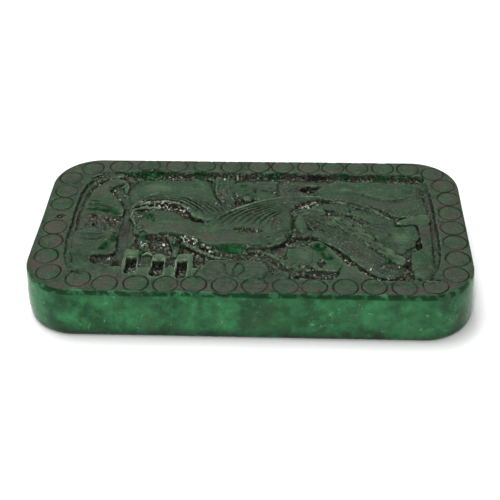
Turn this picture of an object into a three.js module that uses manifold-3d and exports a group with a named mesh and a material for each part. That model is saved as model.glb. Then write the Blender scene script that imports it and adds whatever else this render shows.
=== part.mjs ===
// A carved jade plaque: one thick slab of stone with rounded corners, lying on its back.
// Its top keeps a flat border of tube-drilled rings round a sunk field. Clouds, a small arched
// bridge, rocks and a long-tailed bird are left standing in the field, about level with the border.
// Millimetres, +X along the length, +Y from the bridge side to the far side, +Z up out of the
// carved face. The origin is the centre of the underside.
import * as THREE from "three";
import { mergeVertices } from "three/addons/utils/BufferGeometryUtils.js";
import Module from "manifold-3d";

// The slab
const LENGTH = 111;
const WIDTH = 60;
const THICKNESS = 14;
const CORNER_RADIUS = 13;
const TOP_EDGE_ROUND = 0.7;
const FOOT_ROUND = 1.2;
const SIDE_DRAFT = 0.5; // how much further in the top edge stands than the belly of the sides
const BELLY_HEIGHT = 5;

// The sunk field
const FIELD = { left: -46.7, right: 47.4, front: -23.7, back: 23.1, radius: 7 };
const FIELD_DEPTH = 2.3;
const ROOT = 1; // how far each standing form runs down into the slab, so that the two join

// The ring border
const RINGS = 42;
const RING_INSET = 4.2; // from the slab's outline to a ring's centre
const RING_RADIUS = 3;
const RING_GROOVE = 0.5;
const RING_DEPTH = 0.25;
const RING_SIDES = 10;
const BORDER_PIT = { x: -50.2, y: 1.2, radius: 1 }; // a flaw that takes one ring's place

// How the forms are left by the carver: depth of the top below the border, and edge rounding
const LEVEL = { flush: 0.15, high: 0.3, middle: 0.8, low: 1.4 };
const SOFT_EDGE = { size: 0.45, thickness: 0.4, segments: 1 };
const ROUND_BODY = { size: 0.9, thickness: 0.9, segments: 2 };

const wasm = await Module();
wasm.setup();

// ---- Solids: closed three.js geometry in, joined or cut geometry out ----

function solid(geometry) {
  const bare = geometry.index ? geometry.toNonIndexed() : geometry.clone();
  bare.deleteAttribute("normal");
  bare.deleteAttribute("uv");
  const merged = mergeVertices(bare, 1e-3);
  return new wasm.Manifold(
    new wasm.Mesh({
      numProp: 3,
      vertProperties: merged.attributes.position.array,
      triVerts: new Uint32Array(merged.index.array),
    }),
  );
}

function geometryOf(manifold) {
  const mesh = manifold.getMesh();
  const geometry = new THREE.BufferGeometry();
  geometry.setAttribute(
    "position",
    new THREE.BufferAttribute(new Float32Array(mesh.vertProperties), 3),
  );
  geometry.setIndex(new THREE.BufferAttribute(new Uint32Array(mesh.triVerts), 1));
  geometry.computeVertexNormals();
  return geometry;
}

// ---- Outlines in plan ----

const place = ([x, y]) => new THREE.Vector3(x, y, 0);

// A closed smooth outline through a few points.
function blob(points, steps = 2) {
  const curve = new THREE.CatmullRomCurve3(points.map(place), true, "catmullrom", 0.5);
  const outline = curve.getPoints(points.length * steps).slice(0, -1);
  return new THREE.Shape(outline.map((p) => new THREE.Vector2(p.x, p.y)));
}

// A stroke along a smooth line. Each point gives x, y and the half width there. On the left
// of the line the half width may be trimmed by a function of how far along it is, from 0 to 1.
function ribbon(points, steps = 3, trim = () => 0) {
  const line = new THREE.CatmullRomCurve3(points.map(place), false, "catmullrom", 0.5);
  const widths = new THREE.SplineCurve(points.map((p, i) => new THREE.Vector2(i, p[2])));
  const count = (points.length - 1) * steps;
  const left = [];
  const right = [];
  for (let i = 0; i <= count; i++) {
    const t = i / count;
    const at = line.getPoint(t);
    const along = line.getTangent(t);
    const half = widths.getPoint(t).y;
    const trimmed = half - trim(t);
    left.push(new THREE.Vector2(at.x - along.y * trimmed, at.y + along.x * trimmed));
    right.push(new THREE.Vector2(at.x + along.y * half, at.y - along.x * half));
  }
  return new THREE.Shape([...left, ...right.reverse()]);
}

// A rounded rectangle between four sides.
function panel({ left, right, front, back, radius }, steps = 8) {
  const outline = [];
  const corners = [
    [right - radius, back - radius],
    [left + radius, back - radius],
    [left + radius, front + radius],
    [right - radius, front + radius],
  ];
  corners.forEach(([x, y], quarter) => {
    for (let i = 0; i <= steps; i++) {
      const angle = ((quarter + i / steps) * Math.PI) / 2;
      outline.push(
        new THREE.Vector2(x + radius * Math.cos(angle), y + radius * Math.sin(angle)),
      );
    }
  });
  return new THREE.Shape(outline);
}

const slabPanel = (inset) => ({
  left: -LENGTH / 2 + inset,
  right: LENGTH / 2 - inset,
  front: -WIDTH / 2 + inset,
  back: WIDTH / 2 - inset,
  radius: CORNER_RADIUS - inset,
});

// ---- Forms: an outline raised to a depth below the border, or cut down to one ----

function standing(shape, level, edge = SOFT_EDGE) {
  const floor = THICKNESS - FIELD_DEPTH - ROOT;
  const top = THICKNESS - level;
  const geometry = new THREE.ExtrudeGeometry(shape, {
    depth: top - floor - 2 * edge.thickness,
    steps: 1,
    bevelEnabled: true,
    bevelSize: edge.size,
    bevelOffset: -edge.size,
    bevelThickness: edge.thickness,
    bevelSegments: edge.segments,
  });
  geometry.translate(0, 0, floor + edge.thickness);
  return solid(geometry);
}

function pit(shape, depth) {
  const geometry = new THREE.ExtrudeGeometry(shape, {
    depth: depth + ROOT,
    steps: 1,
    bevelEnabled: false,
  });
  geometry.translate(0, 0, THICKNESS - depth);
  return solid(geometry);
}

// ---- The slab: outlines stacked up the profile of its side ----

// Joins outlines that all have the same number of points, lowest first, and caps both ends.
function stack(outlines) {
  const around = outlines[0].length;
  const faces = [];
  for (let layer = 0; layer + 1 < outlines.length; layer++) {
    for (let i = 0; i < around; i++) {
      const a = layer * around + i;
      const b = layer * around + ((i + 1) % around);
      faces.push(a, b, b + around, a, b + around, a + around);
    }
  }
  const foot = outlines[0].map((p) => new THREE.Vector2(p.x, p.y));
  const lid = (outlines.length - 1) * around;
  for (const [a, b, c] of THREE.ShapeUtils.triangulateShape(foot, [])) {
    faces.push(a, c, b);
    faces.push(lid + a, lid + b, lid + c);
  }
  const geometry = new THREE.BufferGeometry().setFromPoints(outlines.flat());
  geometry.setIndex(faces);
  return solid(geometry);
}

function slab() {
  const side = [
    { z: 0, inset: FOOT_ROUND },
    { z: 0.35 * FOOT_ROUND, inset: 0.4 * FOOT_ROUND },
    { z: FOOT_ROUND, inset: 0.1 },
    { z: BELLY_HEIGHT, inset: 0 },
    { z: THICKNESS - TOP_EDGE_ROUND, inset: SIDE_DRAFT },
    { z: THICKNESS - 0.3 * TOP_EDGE_ROUND, inset: SIDE_DRAFT + 0.3 * TOP_EDGE_ROUND },
    { z: THICKNESS, inset: SIDE_DRAFT + TOP_EDGE_ROUND },
  ];
  const outlines = side.map(({ z, inset }) =>
    panel(slabPanel(inset)).getPoints().map((p) => new THREE.Vector3(p.x, p.y, z)),
  );
  return stack(outlines);
}

// ---- The ring border ----

// One ring's V groove, as a closed lathe of a small triangle.
function ringGroove({ x, y }) {
  const proud = 0.2; // the cutter's flanks run on above the surface by this share of its depth
  const half = (RING_GROOVE / 2) * (1 + proud);
  const profile = [
    new THREE.Vector2(RING_RADIUS, -RING_DEPTH),
    new THREE.Vector2(RING_RADIUS + half, proud * RING_DEPTH),
    new THREE.Vector2(RING_RADIUS - half, proud * RING_DEPTH),
    new THREE.Vector2(RING_RADIUS, -RING_DEPTH),
  ];
  const geometry = new THREE.LatheGeometry(profile, RING_SIDES);
  geometry.rotateX(Math.PI / 2);
  geometry.translate(x, y, THICKNESS);
  return solid(geometry);
}

// Ring centres are evenly spaced round the border, and leave out the one where the flaw is.
function ringCentres() {
  const path = panel(slabPanel(RING_INSET));
  path.closePath();
  const centres = path.getSpacedPoints(RINGS).slice(0, -1);
  const flaw = new THREE.Vector2(BORDER_PIT.x, BORDER_PIT.y);
  return centres.filter((centre) => centre.distanceTo(flaw) > RING_RADIUS + BORDER_PIT.radius);
}

// ---- Left end: three cloud banks that curl to the right ----

function leftClouds() {
  const hook = blob([
    [-44.6, 6.4],
    [-44.3, 13],
    [-42, 17.6],
    [-38.4, 19.9],
    [-35.2, 19.2],
    [-33.7, 16.6],
    [-34, 14.2],
    [-35.4, 14.6],
    [-37, 16.6],
    [-38.8, 14.6],
    [-36.6, 11],
    [-34, 6.6],
    [-33.8, 3.4],
    [-38.4, 6],
  ]);
  const middle = blob([
    [-44.6, 4.2],
    [-41, 4.7],
    [-37.6, 3.2],
    [-35, 0.8],
    [-34.3, -1.8],
    [-36, -4],
    [-44.6, -4],
  ]);
  const lower = blob([
    [-44.6, -5],
    [-39, -4.9],
    [-35.4, -5.4],
    [-33.5, -9],
    [-34.8, -12],
    [-38.6, -13.8],
    [-39.6, -16.4],
    [-37.4, -18.6],
    [-35, -19.4],
    [-36, -22.6],
    [-40.6, -21.2],
    [-43.8, -17.4],
    [-44.8, -11],
  ]);
  return [
    standing(hook, LEVEL.flush),
    standing(middle, LEVEL.high),
    standing(lower, LEVEL.flush),
  ];
}

// ---- Front edge: a bridge of three arched towers, then scroll clouds, on a low ledge ----

const BRIDGE = { first: -29.1, pitch: 6.5, post: 4.1, top: -13.2, foot: -24.4 };
const ARCH = { width: 2.5, top: -17, foot: -22.9, depth: 2.6 };

function bridge() {
  const parts = [];
  for (let i = 0; i < 3; i++) {
    const x = BRIDGE.first + i * BRIDGE.pitch;
    const post = {
      left: x - BRIDGE.post / 2,
      right: x + BRIDGE.post / 2,
      front: BRIDGE.foot,
      back: BRIDGE.top - 0.4 * i,
      radius: 0.9,
    };
    parts.push(standing(panel(post, 3), LEVEL.flush));
  }
  const ledge = { left: -38, right: -9, front: BRIDGE.foot, back: -19, radius: 0.9 };
  const bank = { left: -10, right: 41, front: BRIDGE.foot, back: -21, radius: 0.9 };
  parts.push(standing(panel(ledge, 3), LEVEL.flush));
  parts.push(standing(panel(bank, 3), LEVEL.middle));
  return parts;
}

function bridgeArches() {
  const cuts = [];
  for (let i = 0; i < 3; i++) {
    const x = BRIDGE.first + 0.3 + i * BRIDGE.pitch;
    const arch = {
      left: x - ARCH.width / 2,
      right: x + ARCH.width / 2,
      front: ARCH.foot - 0.4 * i,
      back: ARCH.top - 0.2 * i,
      radius: 0.6,
    };
    cuts.push(pit(panel(arch, 3), ARCH.depth));
  }
  return cuts;
}

function scrollClouds() {
  const discs = [
    { x: -7.6, y: -19.8, radius: 3.7, level: LEVEL.high },
    { x: -2.2, y: -20, radius: 3.9, level: LEVEL.flush },
    { x: 2, y: -21, radius: 4.3, level: LEVEL.high },
  ];
  return discs.map(({ x, y, radius, level }) => {
    const disc = new THREE.Shape().absarc(x, y, radius, 0, 2 * Math.PI, false);
    return standing(new THREE.Shape(disc.getPoints(8).slice(0, -1)), level);
  });
}

// ---- The bird: head to the left, wings raised, plumes streaming to the right ----

function bird() {
  const body = blob([
    [-30.4, -2.8],
    [-28.8, -0.3],
    [-23, 0.4],
    [-16, -0.4],
    [-9, -2],
    [-2, -4],
    [5, -4.4],
    [10, -3],
    [8.6, -7.4],
    [3.6, -10.4],
    [-0.4, -12],
    [-3.4, -14.5],
    [-7.4, -13.6],
    [-12, -9.8],
    [-17.6, -6.2],
    [-23.6, -5.2],
    [-28.6, -6.6],
  ]);
  const beak = ribbon([
    [-28.2, -5, 1.3],
    [-27.9, -8.4, 1.2],
    [-27.2, -12.2, 0.7],
  ]);
  const crest = ribbon([
    [-28, -0.8, 1.1],
    [-27.2, 1.8, 0.8],
    [-26.6, 4.2, 0.4],
  ]);
  const shoulder = blob([
    [-30, 1],
    [-29.6, 4.4],
    [-25, 6.2],
    [-20, 5.2],
    [-16, 1.8],
    [-13.4, -0.6],
    [-20, -1.6],
    [-27, -1.6],
  ]);
  return [
    standing(shoulder, LEVEL.low),
    standing(body, LEVEL.flush, ROUND_BODY),
    standing(beak, LEVEL.middle, { size: 0.3, thickness: 0.4, segments: 1 }),
    standing(crest, LEVEL.high, { size: 0.25, thickness: 0.3, segments: 1 }),
  ];
}

const EYE = { x: -28.8, y: -3, outer: 0.75, inner: 0.35, depth: 0.35 };

function eyeRing() {
  const ring = new THREE.Shape().absarc(EYE.x, EYE.y, EYE.outer, 0, 2 * Math.PI, false);
  ring.holes.push(new THREE.Path().absarc(EYE.x, EYE.y, EYE.inner, 0, 2 * Math.PI, true));
  const geometry = new THREE.ExtrudeGeometry(ring, {
    depth: 2,
    bevelEnabled: false,
    curveSegments: 5,
  });
  geometry.translate(0, 0, THICKNESS - LEVEL.flush - EYE.depth);
  return solid(geometry);
}

function wings() {
  const far = blob([
    [-32, 6.8],
    [-30, 10.4],
    [-26, 13.2],
    [-20, 13.6],
    [-13, 11.4],
    [-8, 7.6],
    [-7.4, 3.6],
    [-11, 1.4],
    [-14.2, 2.2],
    [-16.4, 6.2],
    [-20.4, 9.2],
    [-26, 9.6],
  ]);
  const near = blob([
    [-11.9, -1.7],
    [-9.4, 2.4],
    [-5, 6.4],
    [1, 9.7],
    [8, 11.8],
    [15, 12.3],
    [19, 11.2],
    [14.6, 8.8],
    [10.6, 5.6],
    [9.8, 1],
    [8.4, -4.4],
    [0, -4.6],
    [-6, -4],
  ]);
  return [standing(far, LEVEL.high), standing(near, LEVEL.high)];
}

// Feather cuts follow the wing: each is the wing's leading edge, turned in a little further.
function featherCuts() {
  const cuts = [];
  const groove = 0.22;
  for (let i = 0; i < 7; i++) {
    const s = i / 6;
    cuts.push(
      ribbon([
        [-10 + 11.5 * s, -1.2 - 0.6 * s, groove],
        [-6.6 + 9.4 * s, 3.6 - 1.2 * s, groove],
        [-0.6 + 7.4 * s, 7.9 - 2.2 * s, groove],
        [8.4 + 3.2 * s, 11 - 3.2 * s, groove],
      ]),
    );
  }
  for (let i = 0; i < 5; i++) {
    const s = i / 4;
    cuts.push(
      ribbon([
        [-23.6 + 7.6 * s, 11.8 + 0.2 * s, groove],
        [-18 + 6.2 * s, 10.8 - 0.9 * s, groove],
        [-13.2 + 4.2 * s, 4 + 0.7 * s, groove],
      ]),
    );
  }
  return cuts.map((shape) => pit(shape, 0.9));
}

// ---- Tail: a fan of scalloped plumes, three streamers above it and their joined end ----

const FAN = [
  [12.6, 3.4, 2.6],
  [17.2, 0.4, 4.6],
  [23, -5.2, 4.8],
  [29, -12.4, 4.6],
  [35.4, -19, 2.8],
];
const SCALLOPS = 6;
const SCALLOP_DEPTH = 1.1;

// The fan's upper edge runs in scallops: it is trimmed most between two lobes.
function tailFan() {
  const notch = (t) => SCALLOP_DEPTH * (1 - Math.abs(Math.sin(Math.PI * SCALLOPS * t)));
  return standing(ribbon(FAN, SCALLOPS, notch), LEVEL.high);
}

function streamers() {
  const upper = ribbon([
    [14, 11.3, 0.9],
    [21, 10.7, 1],
    [28, 9.2, 0.9],
    [34, 5.6, 0.8],
    [38, 1.4, 0.6],
  ]);
  const middle = ribbon([
    [17, 7.9, 0.8],
    [23, 7.7, 1.6],
    [29, 5.8, 2.2],
    [34, 2, 2],
    [37.4, -1.6, 1.4],
  ]);
  const lower = ribbon([
    [18, 5.9, 0.6],
    [24, 4.5, 0.9],
    [29, 1, 0.9],
    [34, -2.6, 0.8],
    [40, -4.2, 0.7],
  ]);
  const end = blob([
    [30.6, -2.2],
    [35, -0.8],
    [41.2, -0.6],
    [42.2, -4],
    [41.2, -8.2],
    [36.6, -12],
    [33, -9],
  ]);
  return [
    standing(upper, LEVEL.middle),
    standing(middle, LEVEL.high, { size: 0.6, thickness: 0.6, segments: 2 }),
    standing(lower, LEVEL.high),
    standing(end, LEVEL.middle),
  ];
}

// ---- Far side: cloud banks along the back wall ----

function farClouds() {
  const leftBank = blob([
    [-32.4, 12.6],
    [-32, 18],
    [-27, 20.6],
    [-17, 20.6],
    [-11.6, 18.6],
    [-11, 14],
    [-17, 14.2],
    [-23, 15.2],
    [-28, 13.8],
  ]);
  const rib = ribbon([
    [-9.2, 20.6, 0.6],
    [-9.6, 15.4, 0.5],
    [-7.8, 10.6, 0.8],
  ]);
  const leftBlock = { left: -5.2, right: -0.5, front: 12.4, back: 20, radius: 1.4 };
  const rightBlock = { left: 0.8, right: 6.6, front: 11, back: 20.2, radius: 1.8 };
  const shelf = blob([
    [7.4, 20.4],
    [13, 19.4],
    [19.6, 19],
    [18.4, 15.8],
    [12, 13.8],
    [8, 13.4],
  ]);
  const under = blob([
    [17, 13.6],
    [21.6, 11.8],
    [28, 10.4],
    [34, 7],
    [39, 4.8],
    [43.6, 6],
    [45.2, 11],
    [44.4, 17.6],
    [30, 17.6],
    [20, 16.4],
  ]);
  const over = blob([
    [18, 14.6],
    [20.4, 17],
    [30, 18.2],
    [42, 18.8],
    [45, 17],
    [42.4, 13.8],
    [38, 11.6],
    [32.6, 12],
    [28.4, 14.2],
    [22.6, 14.4],
  ]);
  return [
    standing(leftBank, LEVEL.middle, { size: 1, thickness: 0.7, segments: 2 }),
    standing(rib, LEVEL.middle),
    standing(panel(leftBlock, 3), LEVEL.middle),
    standing(panel(rightBlock, 3), LEVEL.high),
    standing(shelf, LEVEL.middle),
    standing(under, LEVEL.low),
    standing(over, LEVEL.high),
  ];
}

// ---- Right front: a leafy rock, a curved ridge, a corner rock and a cloud tongue ----

function rocks() {
  const leafy = blob([
    [9.4, -11.6],
    [12.6, -9.5],
    [15.8, -11.2],
    [15.8, -15.6],
    [15, -18.8],
    [11.6, -19.4],
    [9.3, -16.6],
    [10.4, -14.2],
  ]);
  const ridge = ribbon([
    [12.8, -8.2, 0.7],
    [17.4, -8.9, 0.9],
    [21, -12, 1.2],
    [24.6, -17, 1.7],
    [29.6, -22.4, 2.4],
  ]);
  const foreground = blob([
    [17, -24.4],
    [17.6, -20],
    [21, -17.6],
    [25, -18],
    [30, -24.4],
  ]);
  const corner = blob([
    [38.8, -16],
    [41, -12.2],
    [45, -9.4],
    [45.6, -14],
    [45, -19.4],
    [42, -22],
    [39.6, -20.6],
  ]);
  const tongue = ribbon([
    [37.2, 0.5, 0.4],
    [41, 2, 0.9],
    [45, 3.2, 0.9],
  ]);
  const branch = ribbon([
    [-12.6, -11.6, 0.4],
    [-9, -14.2, 0.5],
    [-4, -15.6, 0.5],
    [1, -13.8, 0.8],
    [5.4, -14.8, 0.6],
    [9, -18.4, 0.5],
  ]);
  return [
    standing(leafy, LEVEL.flush),
    standing(ridge, LEVEL.flush),
    standing(foreground, LEVEL.middle),
    standing(corner, LEVEL.high, { size: 0.9, thickness: 0.7, segments: 2 }),
    standing(tongue, LEVEL.high, { size: 0.3, thickness: 0.3, segments: 1 }),
    standing(branch, LEVEL.middle, { size: 0.3, thickness: 0.3, segments: 1 }),
  ];
}

// ---- Hollows and drill pits ----

function hollows() {
  const underWing = blob([
    [-3.6, -3.4],
    [-0.4, -2.7],
    [2.4, -3.5],
    [0, -4.5],
  ]);
  const shelfSlit = blob([
    [12.6, 16.4],
    [15.4, 16.9],
    [18, 16],
    [15, 15.2],
  ]);
  const leafHollow = blob([
    [16.4, -9.8],
    [19.4, -12.6],
    [21.2, -16.4],
    [18, -13.4],
  ]);
  const frontHollow = blob([
    [11, -21.4],
    [14, -20.2],
    [16.4, -20.6],
    [15.6, -22.8],
    [12, -22.8],
  ]);
  const drilled = ({ x, y, radius }) => {
    const hole = new THREE.Shape().absarc(x, y, radius, 0, 2 * Math.PI, false);
    return new THREE.Shape(hole.getPoints(5).slice(0, -1));
  };
  return [
    pit(underWing, 1.4),
    pit(shelfSlit, 2.2),
    pit(leafHollow, 1.6),
    pit(frontHollow, 2.4),
    pit(drilled(BORDER_PIT), 1.2),
    pit(drilled({ x: 48.7, y: 1.6, radius: 0.6 }), 0.6),
  ];
}

// ---- The carved plaque ----

function carve() {
  const field = pit(panel(FIELD), FIELD_DEPTH);
  const forms = [
    ...leftClouds(),
    ...bridge(),
    ...scrollClouds(),
    ...wings(),
    ...bird(),
    ...streamers(),
    tailFan(),
    ...farClouds(),
    ...rocks(),
  ];
  const cuts = [
    ...bridgeArches(),
    ...featherCuts(),
    ...hollows(),
    eyeRing(),
    ...ringCentres().map((centre) => ringGroove(centre)),
  ];
  let stone = slab().subtract(field);
  for (const form of forms) stone = stone.add(form);
  for (const cut of cuts) stone = stone.subtract(cut);
  return stone;
}

const jade = new THREE.MeshStandardMaterial({
  color: 0x2f5a3c,
  roughness: 0.38,
  metalness: 0,
});

const plaque = new THREE.Mesh(geometryOf(carve()), jade);
plaque.name = "plaque";

const model = new THREE.Group();
model.add(plaque);

export default model;
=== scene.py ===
import math
from collections import namedtuple

import bpy
import numpy as np
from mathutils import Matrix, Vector


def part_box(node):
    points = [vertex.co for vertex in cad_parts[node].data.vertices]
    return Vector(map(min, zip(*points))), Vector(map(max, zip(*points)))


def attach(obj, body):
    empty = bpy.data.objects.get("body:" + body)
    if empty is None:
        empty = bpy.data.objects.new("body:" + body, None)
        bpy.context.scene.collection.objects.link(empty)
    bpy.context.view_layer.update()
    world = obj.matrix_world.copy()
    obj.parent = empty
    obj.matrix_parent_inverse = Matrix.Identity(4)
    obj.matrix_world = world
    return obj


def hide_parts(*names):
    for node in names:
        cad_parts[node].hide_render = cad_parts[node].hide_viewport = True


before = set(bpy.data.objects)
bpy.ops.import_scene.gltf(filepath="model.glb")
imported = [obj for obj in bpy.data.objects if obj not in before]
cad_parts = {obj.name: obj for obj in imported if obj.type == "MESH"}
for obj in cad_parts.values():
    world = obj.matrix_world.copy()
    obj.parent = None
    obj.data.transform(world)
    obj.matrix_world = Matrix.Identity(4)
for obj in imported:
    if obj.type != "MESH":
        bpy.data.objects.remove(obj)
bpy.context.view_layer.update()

MM = 0.001
low, high = (np.array(corner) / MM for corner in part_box("plaque"))
length, width, thickness = high - low

# ---------------------------------------------------------------- the view
# A product table: a seamless white sweep, a large overhead softbox, a weaker one in front at the
# left, and two small hard lamps whose glints pick out the torn stone and the polished edges.

CAMERA_LENS = 75.8
CAMERA_AZIMUTH = 3.12
CAMERA_ELEVATION = 36.35
CAMERA_ROLL = -0.97
CAMERA_DISTANCE = 275.7 * MM
FRAME_SHIFT = (-0.0042, -0.0138)
SWEEP_COLOUR = "F7F7F7"
SOFTBOXES = {
    "overhead": {"place": (-170, 120, 900), "size": 460, "watts": 6.4},
    "front": {"place": (-500, -800, 560), "size": 400, "watts": 0.9},
    "front spark": {"place": (-120, -520, 760), "size": 60, "watts": 1.8},
    "rear spark": {"place": (-60, 260, 880), "size": 60, "watts": 0.6},
}
STUDIO_FILL = 0.45


def linear(hex_colour):
    """An sRGB hex colour as the linear red, green, blue and alpha that a shader takes."""
    channels = [int(hex_colour[i : i + 2], 16) / 255 for i in (0, 2, 4)]
    return [c / 12.92 if c <= 0.04045 else ((c + 0.055) / 1.055) ** 2.4 for c in channels] + [1]


def aim(thing, target):
    thing.rotation_euler = (Vector(target) - thing.location).to_track_quat("-Z", "Y").to_euler()


centre = Vector((0, 0, thickness / 2 * MM))
azimuth = math.radians(CAMERA_AZIMUTH)
elevation = math.radians(CAMERA_ELEVATION)
outward = Vector((
    math.sin(azimuth) * math.cos(elevation),
    -math.cos(azimuth) * math.cos(elevation),
    math.sin(elevation),
))
camera = bpy.data.objects.new("camera", bpy.data.cameras.new("camera"))
camera.data.lens = CAMERA_LENS
camera.data.shift_x, camera.data.shift_y = FRAME_SHIFT
camera.data.clip_start = 0.01
camera.location = centre + outward * CAMERA_DISTANCE
aim(camera, centre)
camera.rotation_euler.rotate_axis("Z", math.radians(CAMERA_ROLL))
bpy.context.scene.collection.objects.link(camera)
bpy.context.scene.camera = camera

for name, box in SOFTBOXES.items():
    lamp = bpy.data.lights.new(name, "AREA")
    lamp.shape = "DISK"
    lamp.size = box["size"] * MM
    lamp.energy = box["watts"]
    softbox = bpy.data.objects.new(name, lamp)
    softbox.location = Vector(box["place"]) * MM
    aim(softbox, centre)
    bpy.context.scene.collection.objects.link(softbox)

world = bpy.data.worlds.new("studio")
world.use_nodes = True
world.node_tree.nodes["Background"].inputs["Color"].default_value = linear("FFFFFF")
world.node_tree.nodes["Background"].inputs["Strength"].default_value = STUDIO_FILL
bpy.context.scene.world = world
bpy.context.scene.view_settings.view_transform = "Standard"

sweep_mesh = bpy.data.meshes.new("sweep")
reach = 3.0
sweep_mesh.from_pydata(
    [(-reach, -reach, 0), (reach, -reach, 0), (reach, reach, 0), (-reach, reach, 0)],
    [],
    [(0, 1, 2, 3)],
)
sweep = bpy.data.objects.new("sweep", sweep_mesh)
# Matte paper sends the light back evenly, with no highlight of its own.
paper = bpy.data.materials.new("matte white paper")
paper.use_nodes = True
paper.node_tree.nodes["Principled BSDF"].inputs["Base Color"].default_value = linear(SWEEP_COLOUR)
paper.node_tree.nodes["Principled BSDF"].inputs["Roughness"].default_value = 0.9
sweep_mesh.materials.append(paper)
bpy.context.scene.collection.objects.link(sweep)

# ---------------------------------------------------------------- the carver's marks
# The top of the slab is carved with small wheels and drills. The carving is kept as a height map
# in millimetres above (+) or below (-) the border, on a fine grid, and each form is one mark on it.

GRID = 0.125
WEAR = 1.5  # how far handling has rounded every shoulder down
LEAST_STEP = 0.15  # a lower step than this leaves no edge
BROAD_DRIFT = 0.16  # how far the carver's hand wanders over a millimetre or two
FINE_DRIFT = 0.08

xs = np.arange(low[0] - 1, high[0] + 1, GRID)
ys = np.arange(low[1] - 1, high[1] + 1, GRID)
flat_x, flat_y = np.meshgrid(xs, ys)
relief = np.zeros_like(flat_x)
rough = np.zeros_like(flat_x)  # 1 where the wheel has left the ground torn and unpolished
emerald = np.zeros_like(flat_x)  # 1 where the stone is clear and glows green
tone_and_painted_light = np.zeros_like(flat_x)  # above 0 where the stone is paler, with painted light on a few edges; below 0 where it is grey-brown; below -1, painted shade
NOWHERE = 2.0
edge_gap = np.full_like(flat_x, NOWHERE)  # mm in from a form's edge, below 0 at the foot of its wall
cut_gap = np.full_like(flat_x, NOWHERE)  # mm from the middle of the nearest wheel-cut line


def ease(t):
    t = np.clip(t, 0, 1)
    return t * t * (3 - 2 * t)


def lumps(x, y, size, seed):
    """Smooth random bumps about size mm across, from -1 to 1."""
    lattice = np.random.default_rng(seed).uniform(-1, 1, (512, 512))
    u, v = x / size + 200, y / size + 200
    i, j = np.floor(u).astype(int), np.floor(v).astype(int)
    s, t = ease(u - i), ease(v - j)
    i, j = i % 511, j % 511
    near_side = lattice[j, i] * (1 - s) + lattice[j, i + 1] * s
    far_side = lattice[j + 1, i] * (1 - s) + lattice[j + 1, i + 1] * s
    return near_side * (1 - t) + far_side * t


# Every mark is laid on a map whose x and y drift as the hand does.
map_x = flat_x + BROAD_DRIFT * lumps(flat_x, flat_y, 1.7, 5) + FINE_DRIFT * lumps(flat_x, flat_y, 0.7, 6)
map_y = flat_y + BROAD_DRIFT * lumps(flat_x, flat_y, 1.7, 7) + FINE_DRIFT * lumps(flat_x, flat_y, 0.7, 8)


def smooth_line(points, closed=False, steps=6):
    """A smooth curve through points. Columns after x and y, such as a half width, run along it."""
    points = np.array(points, float)
    count = len(points)
    line = []
    for i in range(count if closed else count - 1):
        places = [i + k for k in (-1, 0, 1, 2)]
        places = [p % count if closed else min(max(p, 0), count - 1) for p in places]
        before, start, end, after = points[places]
        for t in np.arange(steps) / steps:
            slope = end - before
            bend = 2 * before - 5 * start + 4 * end - after
            twist = 3 * (start - end) + after - before
            line.append(start + 0.5 * (slope * t + bend * t**2 + twist * t**3))
    line.append(points[0] if closed else points[-1])
    return np.array(line)


def measure(line, margin):
    """Where the map lies near a line: its window, distance, place along it, side and inside."""
    lowest = line[:, :2].min(0) - margin
    highest = line[:, :2].max(0) + margin
    columns = slice(*np.searchsorted(xs, (lowest[0], highest[0])))
    rows = slice(*np.searchsorted(ys, (lowest[1], highest[1])))
    x, y = map_x[rows, columns], map_y[rows, columns]
    distance = np.full(x.shape, np.inf)
    along = np.zeros(x.shape)
    side = np.ones(x.shape)
    inside = np.zeros(x.shape, bool)
    for i, (a, b) in enumerate(zip(line[:-1, :2], line[1:, :2])):
        step = b - a
        t = ((x - a[0]) * step[0] + (y - a[1]) * step[1]) / max(step @ step, 1e-9)
        t = np.clip(t, 0, 1)
        dx, dy = x - a[0] - t * step[0], y - a[1] - t * step[1]
        here = np.hypot(dx, dy)
        closer = here < distance
        distance = np.where(closer, here, distance)
        along = np.where(closer, i + t, along)
        side = np.where(closer, np.sign(step[0] * dy - step[1] * dx), side)
        if step[1]:
            inside ^= ((a[1] > y) != (b[1] > y)) & (x < a[0] + (y - a[1]) * step[0] / step[1])
    return (rows, columns), x, y, distance, along, side, inside


def lay(window, cover, height, torn, depth_in):
    """Cuts or leaves one form, and keeps how far each place is from the form's edge."""
    step = height - relief[window]
    clear_step = np.abs(step) > LEAST_STEP
    inside = depth_in > 0
    nearer = np.abs(depth_in) < np.abs(edge_gap[window])
    edge_gap[window] = np.where(clear_step & (inside | nearer), depth_in * np.sign(step), edge_gap[window])
    edge_gap[window] = np.where(inside & ~clear_step, NOWHERE, edge_gap[window])
    cut_gap[window] += (NOWHERE - cut_gap[window]) * cover
    relief[window] += step * cover
    rough[window] += (torn - rough[window]) * cover


def stand(outline, top, shoulder=0.7, drop=0.3, tilt=(0, 0), wall=0.35, torn=0.0, corners=False):
    """Leaves a form standing: flat or tilted on top, rounded at its shoulder, steep at its wall."""
    line = np.array(outline + outline[:1], float) if corners else smooth_line(outline, True)
    window, x, y, distance, _, _, inside = measure(line, max(wall, 1))
    depth_in = np.where(inside, distance, -distance)
    middle = line[:, :2].mean(0)
    slope = tilt[0] * (x - middle[0]) + tilt[1] * (y - middle[1])
    rounding = WEAR * drop * np.clip(1 - depth_in / (WEAR * shoulder), 0, 1) ** 2
    lay(window, ease(depth_in / wall + 0.5), top + slope - rounding, torn, depth_in)


def rib(route, top, crown=0.4, wall=0.3, torn=0.0):
    """A raised roll along a route of x, y and half width. It drops by crown at its two sides."""
    line = smooth_line(route)
    window, _, _, distance, along, _, _ = measure(line, line[:, 2].max() + max(wall, 1))
    half = np.interp(along, np.arange(len(line)), line[:, 2])
    height = top - crown * np.clip(distance / half, 0, 1) ** 2
    lay(window, ease((half - distance) / wall + 0.5), height, torn, half - distance)


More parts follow.
